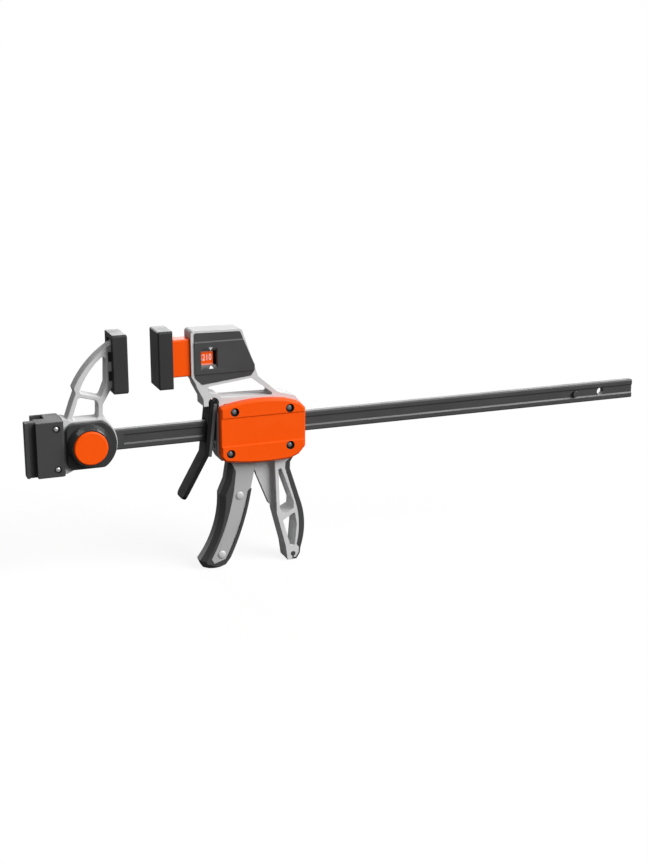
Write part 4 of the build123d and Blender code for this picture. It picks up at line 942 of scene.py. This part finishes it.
class CLAMP_OT_trigger(bpy.types.Operator):
    """Finish the trigger with its rivets and drive, and the two grips"""
    bl_idname = "clamp.trigger"
    bl_label = "Trigger and grips"

    def beside_chamfer(self, edge):
        """Whether an edge of the grip bounds the slope between its flank and its finger side."""
        return any(0.5 < abs(face.normal.y) < 0.9 for face in edge.link_faces)

    def execute(self, context):
        looks = finishes()
        edges = context.scene.clamp_edges
        rounded("trigger", "trigger", looks["sheet"], edges.sheet, edges.steps)
        rounded(
            "trigger_grip", "trigger", looks["rubber"], edges.plastic, edges.steps + 2,
            soft=self.beside_chamfer, soft_width=edges.grip)
        rounded(
            "handle_grip", "moving_jaw", looks["rubber"], edges.plastic * 2, edges.steps)
        shank = 0.002
        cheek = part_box("trigger")[1][1]
        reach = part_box("trigger_rivets")[1][1]
        head = dome(context.scene.clamp_heads.rivet, cheek, reach)
        far_head = [(radius, -height) for radius, height in reversed(head)]
        profile = far_head + [(shank, -cheek), (shank, cheek)] + head
        points = [(jaw_place(x, 0.0, z), Vector((0, -1, 0))) for x, z in RIVETS]
        fasteners("trigger_rivets", "trigger", looks["rivet"], profile, points)
        dress("trigger_pin", looks["bright"])
        dress("drive_plate", looks["lever"])
        wound(
            "drive_spring", "moving_jaw", looks["bright"], turns=6.0, wire_radius=0.0007, axis="X")
        return {"FINISHED"}


class CLAMP_OT_stage(bpy.types.Operator):
    """Lay the floor and set the lights, the world and the camera"""
    bl_idname = "clamp.stage"
    bl_label = "Stage"

    def floor_finish(self, setting):
        """Floor finish: white to the camera, with the object's soft shadow."""
        material = bpy.data.materials.new("pale_floor")
        material.use_nodes = True
        tree = material.node_tree
        tree.nodes.clear()
        out = node(tree, "ShaderNodeOutputMaterial", (600, 0))
        diffuse = node(tree, "ShaderNodeBsdfDiffuse", (0, 100), {"Color": (*setting.floor, 1.0)})
        glow = node(tree, "ShaderNodeEmission", (0, -100))
        path = node(tree, "ShaderNodeLightPath", (-600, -200))
        strength = node(tree, "ShaderNodeMath", (-200, -200), {1: setting.glow}, operation="MULTIPLY")
        joined = node(tree, "ShaderNodeAddShader", (350, 0))
        wire(
            tree,
            (path, "Is Camera Ray", strength, 0), (strength, 0, glow, "Strength"),
            (diffuse, 0, joined, 0), (glow, 0, joined, 1), (joined, 0, out, "Surface"))
        return material

    def floor(self, setting):
        """A wide floor just under the feet."""
        reach, drop = 30.0, -0.0003
        mesh = bpy.data.meshes.new("floor")
        corners = [(x * reach, y * reach, drop) for x, y in ((-1, -1), (1, -1), (1, 1), (-1, 1))]
        mesh.from_pydata(corners, [], [(0, 1, 2, 3)])
        mesh.materials.append(self.floor_finish(setting))
        return bpy.data.objects.new("floor", mesh)

    def studio(self, setting):
        """A white world to the camera, even light on the object, and a bright backdrop in its gloss."""
        world = bpy.data.worlds.new("studio")
        world.use_nodes = True
        tree = world.node_tree
        background = tree.nodes["Background"]
        background.inputs["Color"].default_value = (1.0, 1.0, 1.0, 1.0)
        path = node(tree, "ShaderNodeLightPath", (-900, 200))
        heading = node(tree, "ShaderNodeTexCoord", (-900, -200))
        parts = node(tree, "ShaderNodeSeparateXYZ", (-700, -200))
        upper = node(tree, "ShaderNodeMath", (-600, -200), operation="ADD")
        behind = node(tree, "ShaderNodeMapRange", (-500, -200), {
            "From Min": 0.3, "From Max": 1.0, "To Min": setting.ambient, "To Max": setting.backdrop})
        gloss = node(tree, "ShaderNodeMix", (-300, 0), {"A": setting.ambient})
        seen = node(tree, "ShaderNodeMix", (-100, 100), {"B": 1.0})
        wire(
            tree,
            (heading, "Generated", parts, "Vector"), (parts, "Y", upper, 0), (parts, "Z", upper, 1),
            (upper, 0, behind, "Value"),
            (path, "Is Glossy Ray", gloss, "Factor"), (behind, "Result", gloss, "B"),
            (path, "Is Camera Ray", seen, "Factor"), (gloss, "Result", seen, "A"),
            (seen, "Result", background, "Strength"))
        return world

    def sun(self, name, towards, strength, width):
        """A soft light from a far direction, its width in degrees."""
        light = bpy.data.lights.new(name, "SUN")
        light.energy = strength
        light.angle = radians(width)
        lamp = bpy.data.objects.new(name, light)
        lamp.rotation_euler = (-Vector(towards)).to_track_quat("-Z", "Y").to_euler()
        return lamp

    def camera(self, setting):
        """The camera at the photograph's viewing angle."""
        lens = bpy.data.cameras.new("camera")
        lens.sensor_fit = "VERTICAL"
        lens.sensor_height = 36.0
        lens.lens = setting.lens
        lens.clip_start = 0.01
        camera = bpy.data.objects.new("camera", lens)
        camera.location = setting.eye
        level = cos(setting.elevation)
        aim = Vector((
            sin(setting.azimuth) * level, cos(setting.azimuth) * level, -sin(setting.elevation)))
        camera.rotation_euler = aim.to_track_quat("-Z", "Y").to_euler()
        return camera

    def execute(self, context):
        scene = context.scene
        setting = scene.clamp_stage
        floor = self.floor(setting)
        scene.collection.objects.link(floor)
        scene.world = self.studio(setting)
        scene.collection.objects.link(self.sun("key", (0.6, -0.58, 0.55), setting.key, 45.0))
        scene.collection.objects.link(self.sun("rear", (0.3, 0.94, 0.16), setting.rear, 60.0))
        scene.camera = self.camera(setting)
        scene.collection.objects.link(scene.camera)
        scene.view_settings.view_transform = "Standard"
        return {"FINISHED"}


GROUPS = {
    "clamp_colours": ClampColours, "clamp_edges": ClampEdges, "clamp_heads": ClampHeads,
    "clamp_gauge": ClampGauge, "clamp_stage": ClampStage}
OPERATORS = (
    CLAMP_OT_stage, CLAMP_OT_castings, CLAMP_OT_bar, CLAMP_OT_pads, CLAMP_OT_lock, CLAMP_OT_coupling,
    CLAMP_OT_covers, CLAMP_OT_gauge, CLAMP_OT_scale, CLAMP_OT_lever, CLAMP_OT_trigger)


class CLAMP_PT_panel(bpy.types.Panel):
    """The clamp's pieces"""
    bl_idname = "CLAMP_PT_panel"
    bl_label = "Bar clamp"
    bl_space_type = "VIEW_3D"
    bl_region_type = "UI"
    bl_category = "Bar clamp"

    def draw(self, context):
        for operator in OPERATORS:
            self.layout.operator(operator.bl_idname)


def register():
    """Register the classes and hang the settings on the scene."""
    for kind in (*GROUPS.values(), *OPERATORS, CLAMP_PT_panel):
        bpy.utils.register_class(kind)
    for name, kind in GROUPS.items():
        setattr(bpy.types.Scene, name, PointerProperty(type=kind))


def unregister():
    """Take the settings and classes away again."""
    for name in GROUPS:
        delattr(bpy.types.Scene, name)
    for kind in reversed((*GROUPS.values(), *OPERATORS, CLAMP_PT_panel)):
        bpy.utils.unregister_class(kind)


def main():
    """Build every piece."""
    register()
    for operator in OPERATORS:
        family, name = operator.bl_idname.split(".")
        getattr(getattr(bpy.ops, family), name)()


if __name__ == "__main__":
    main()
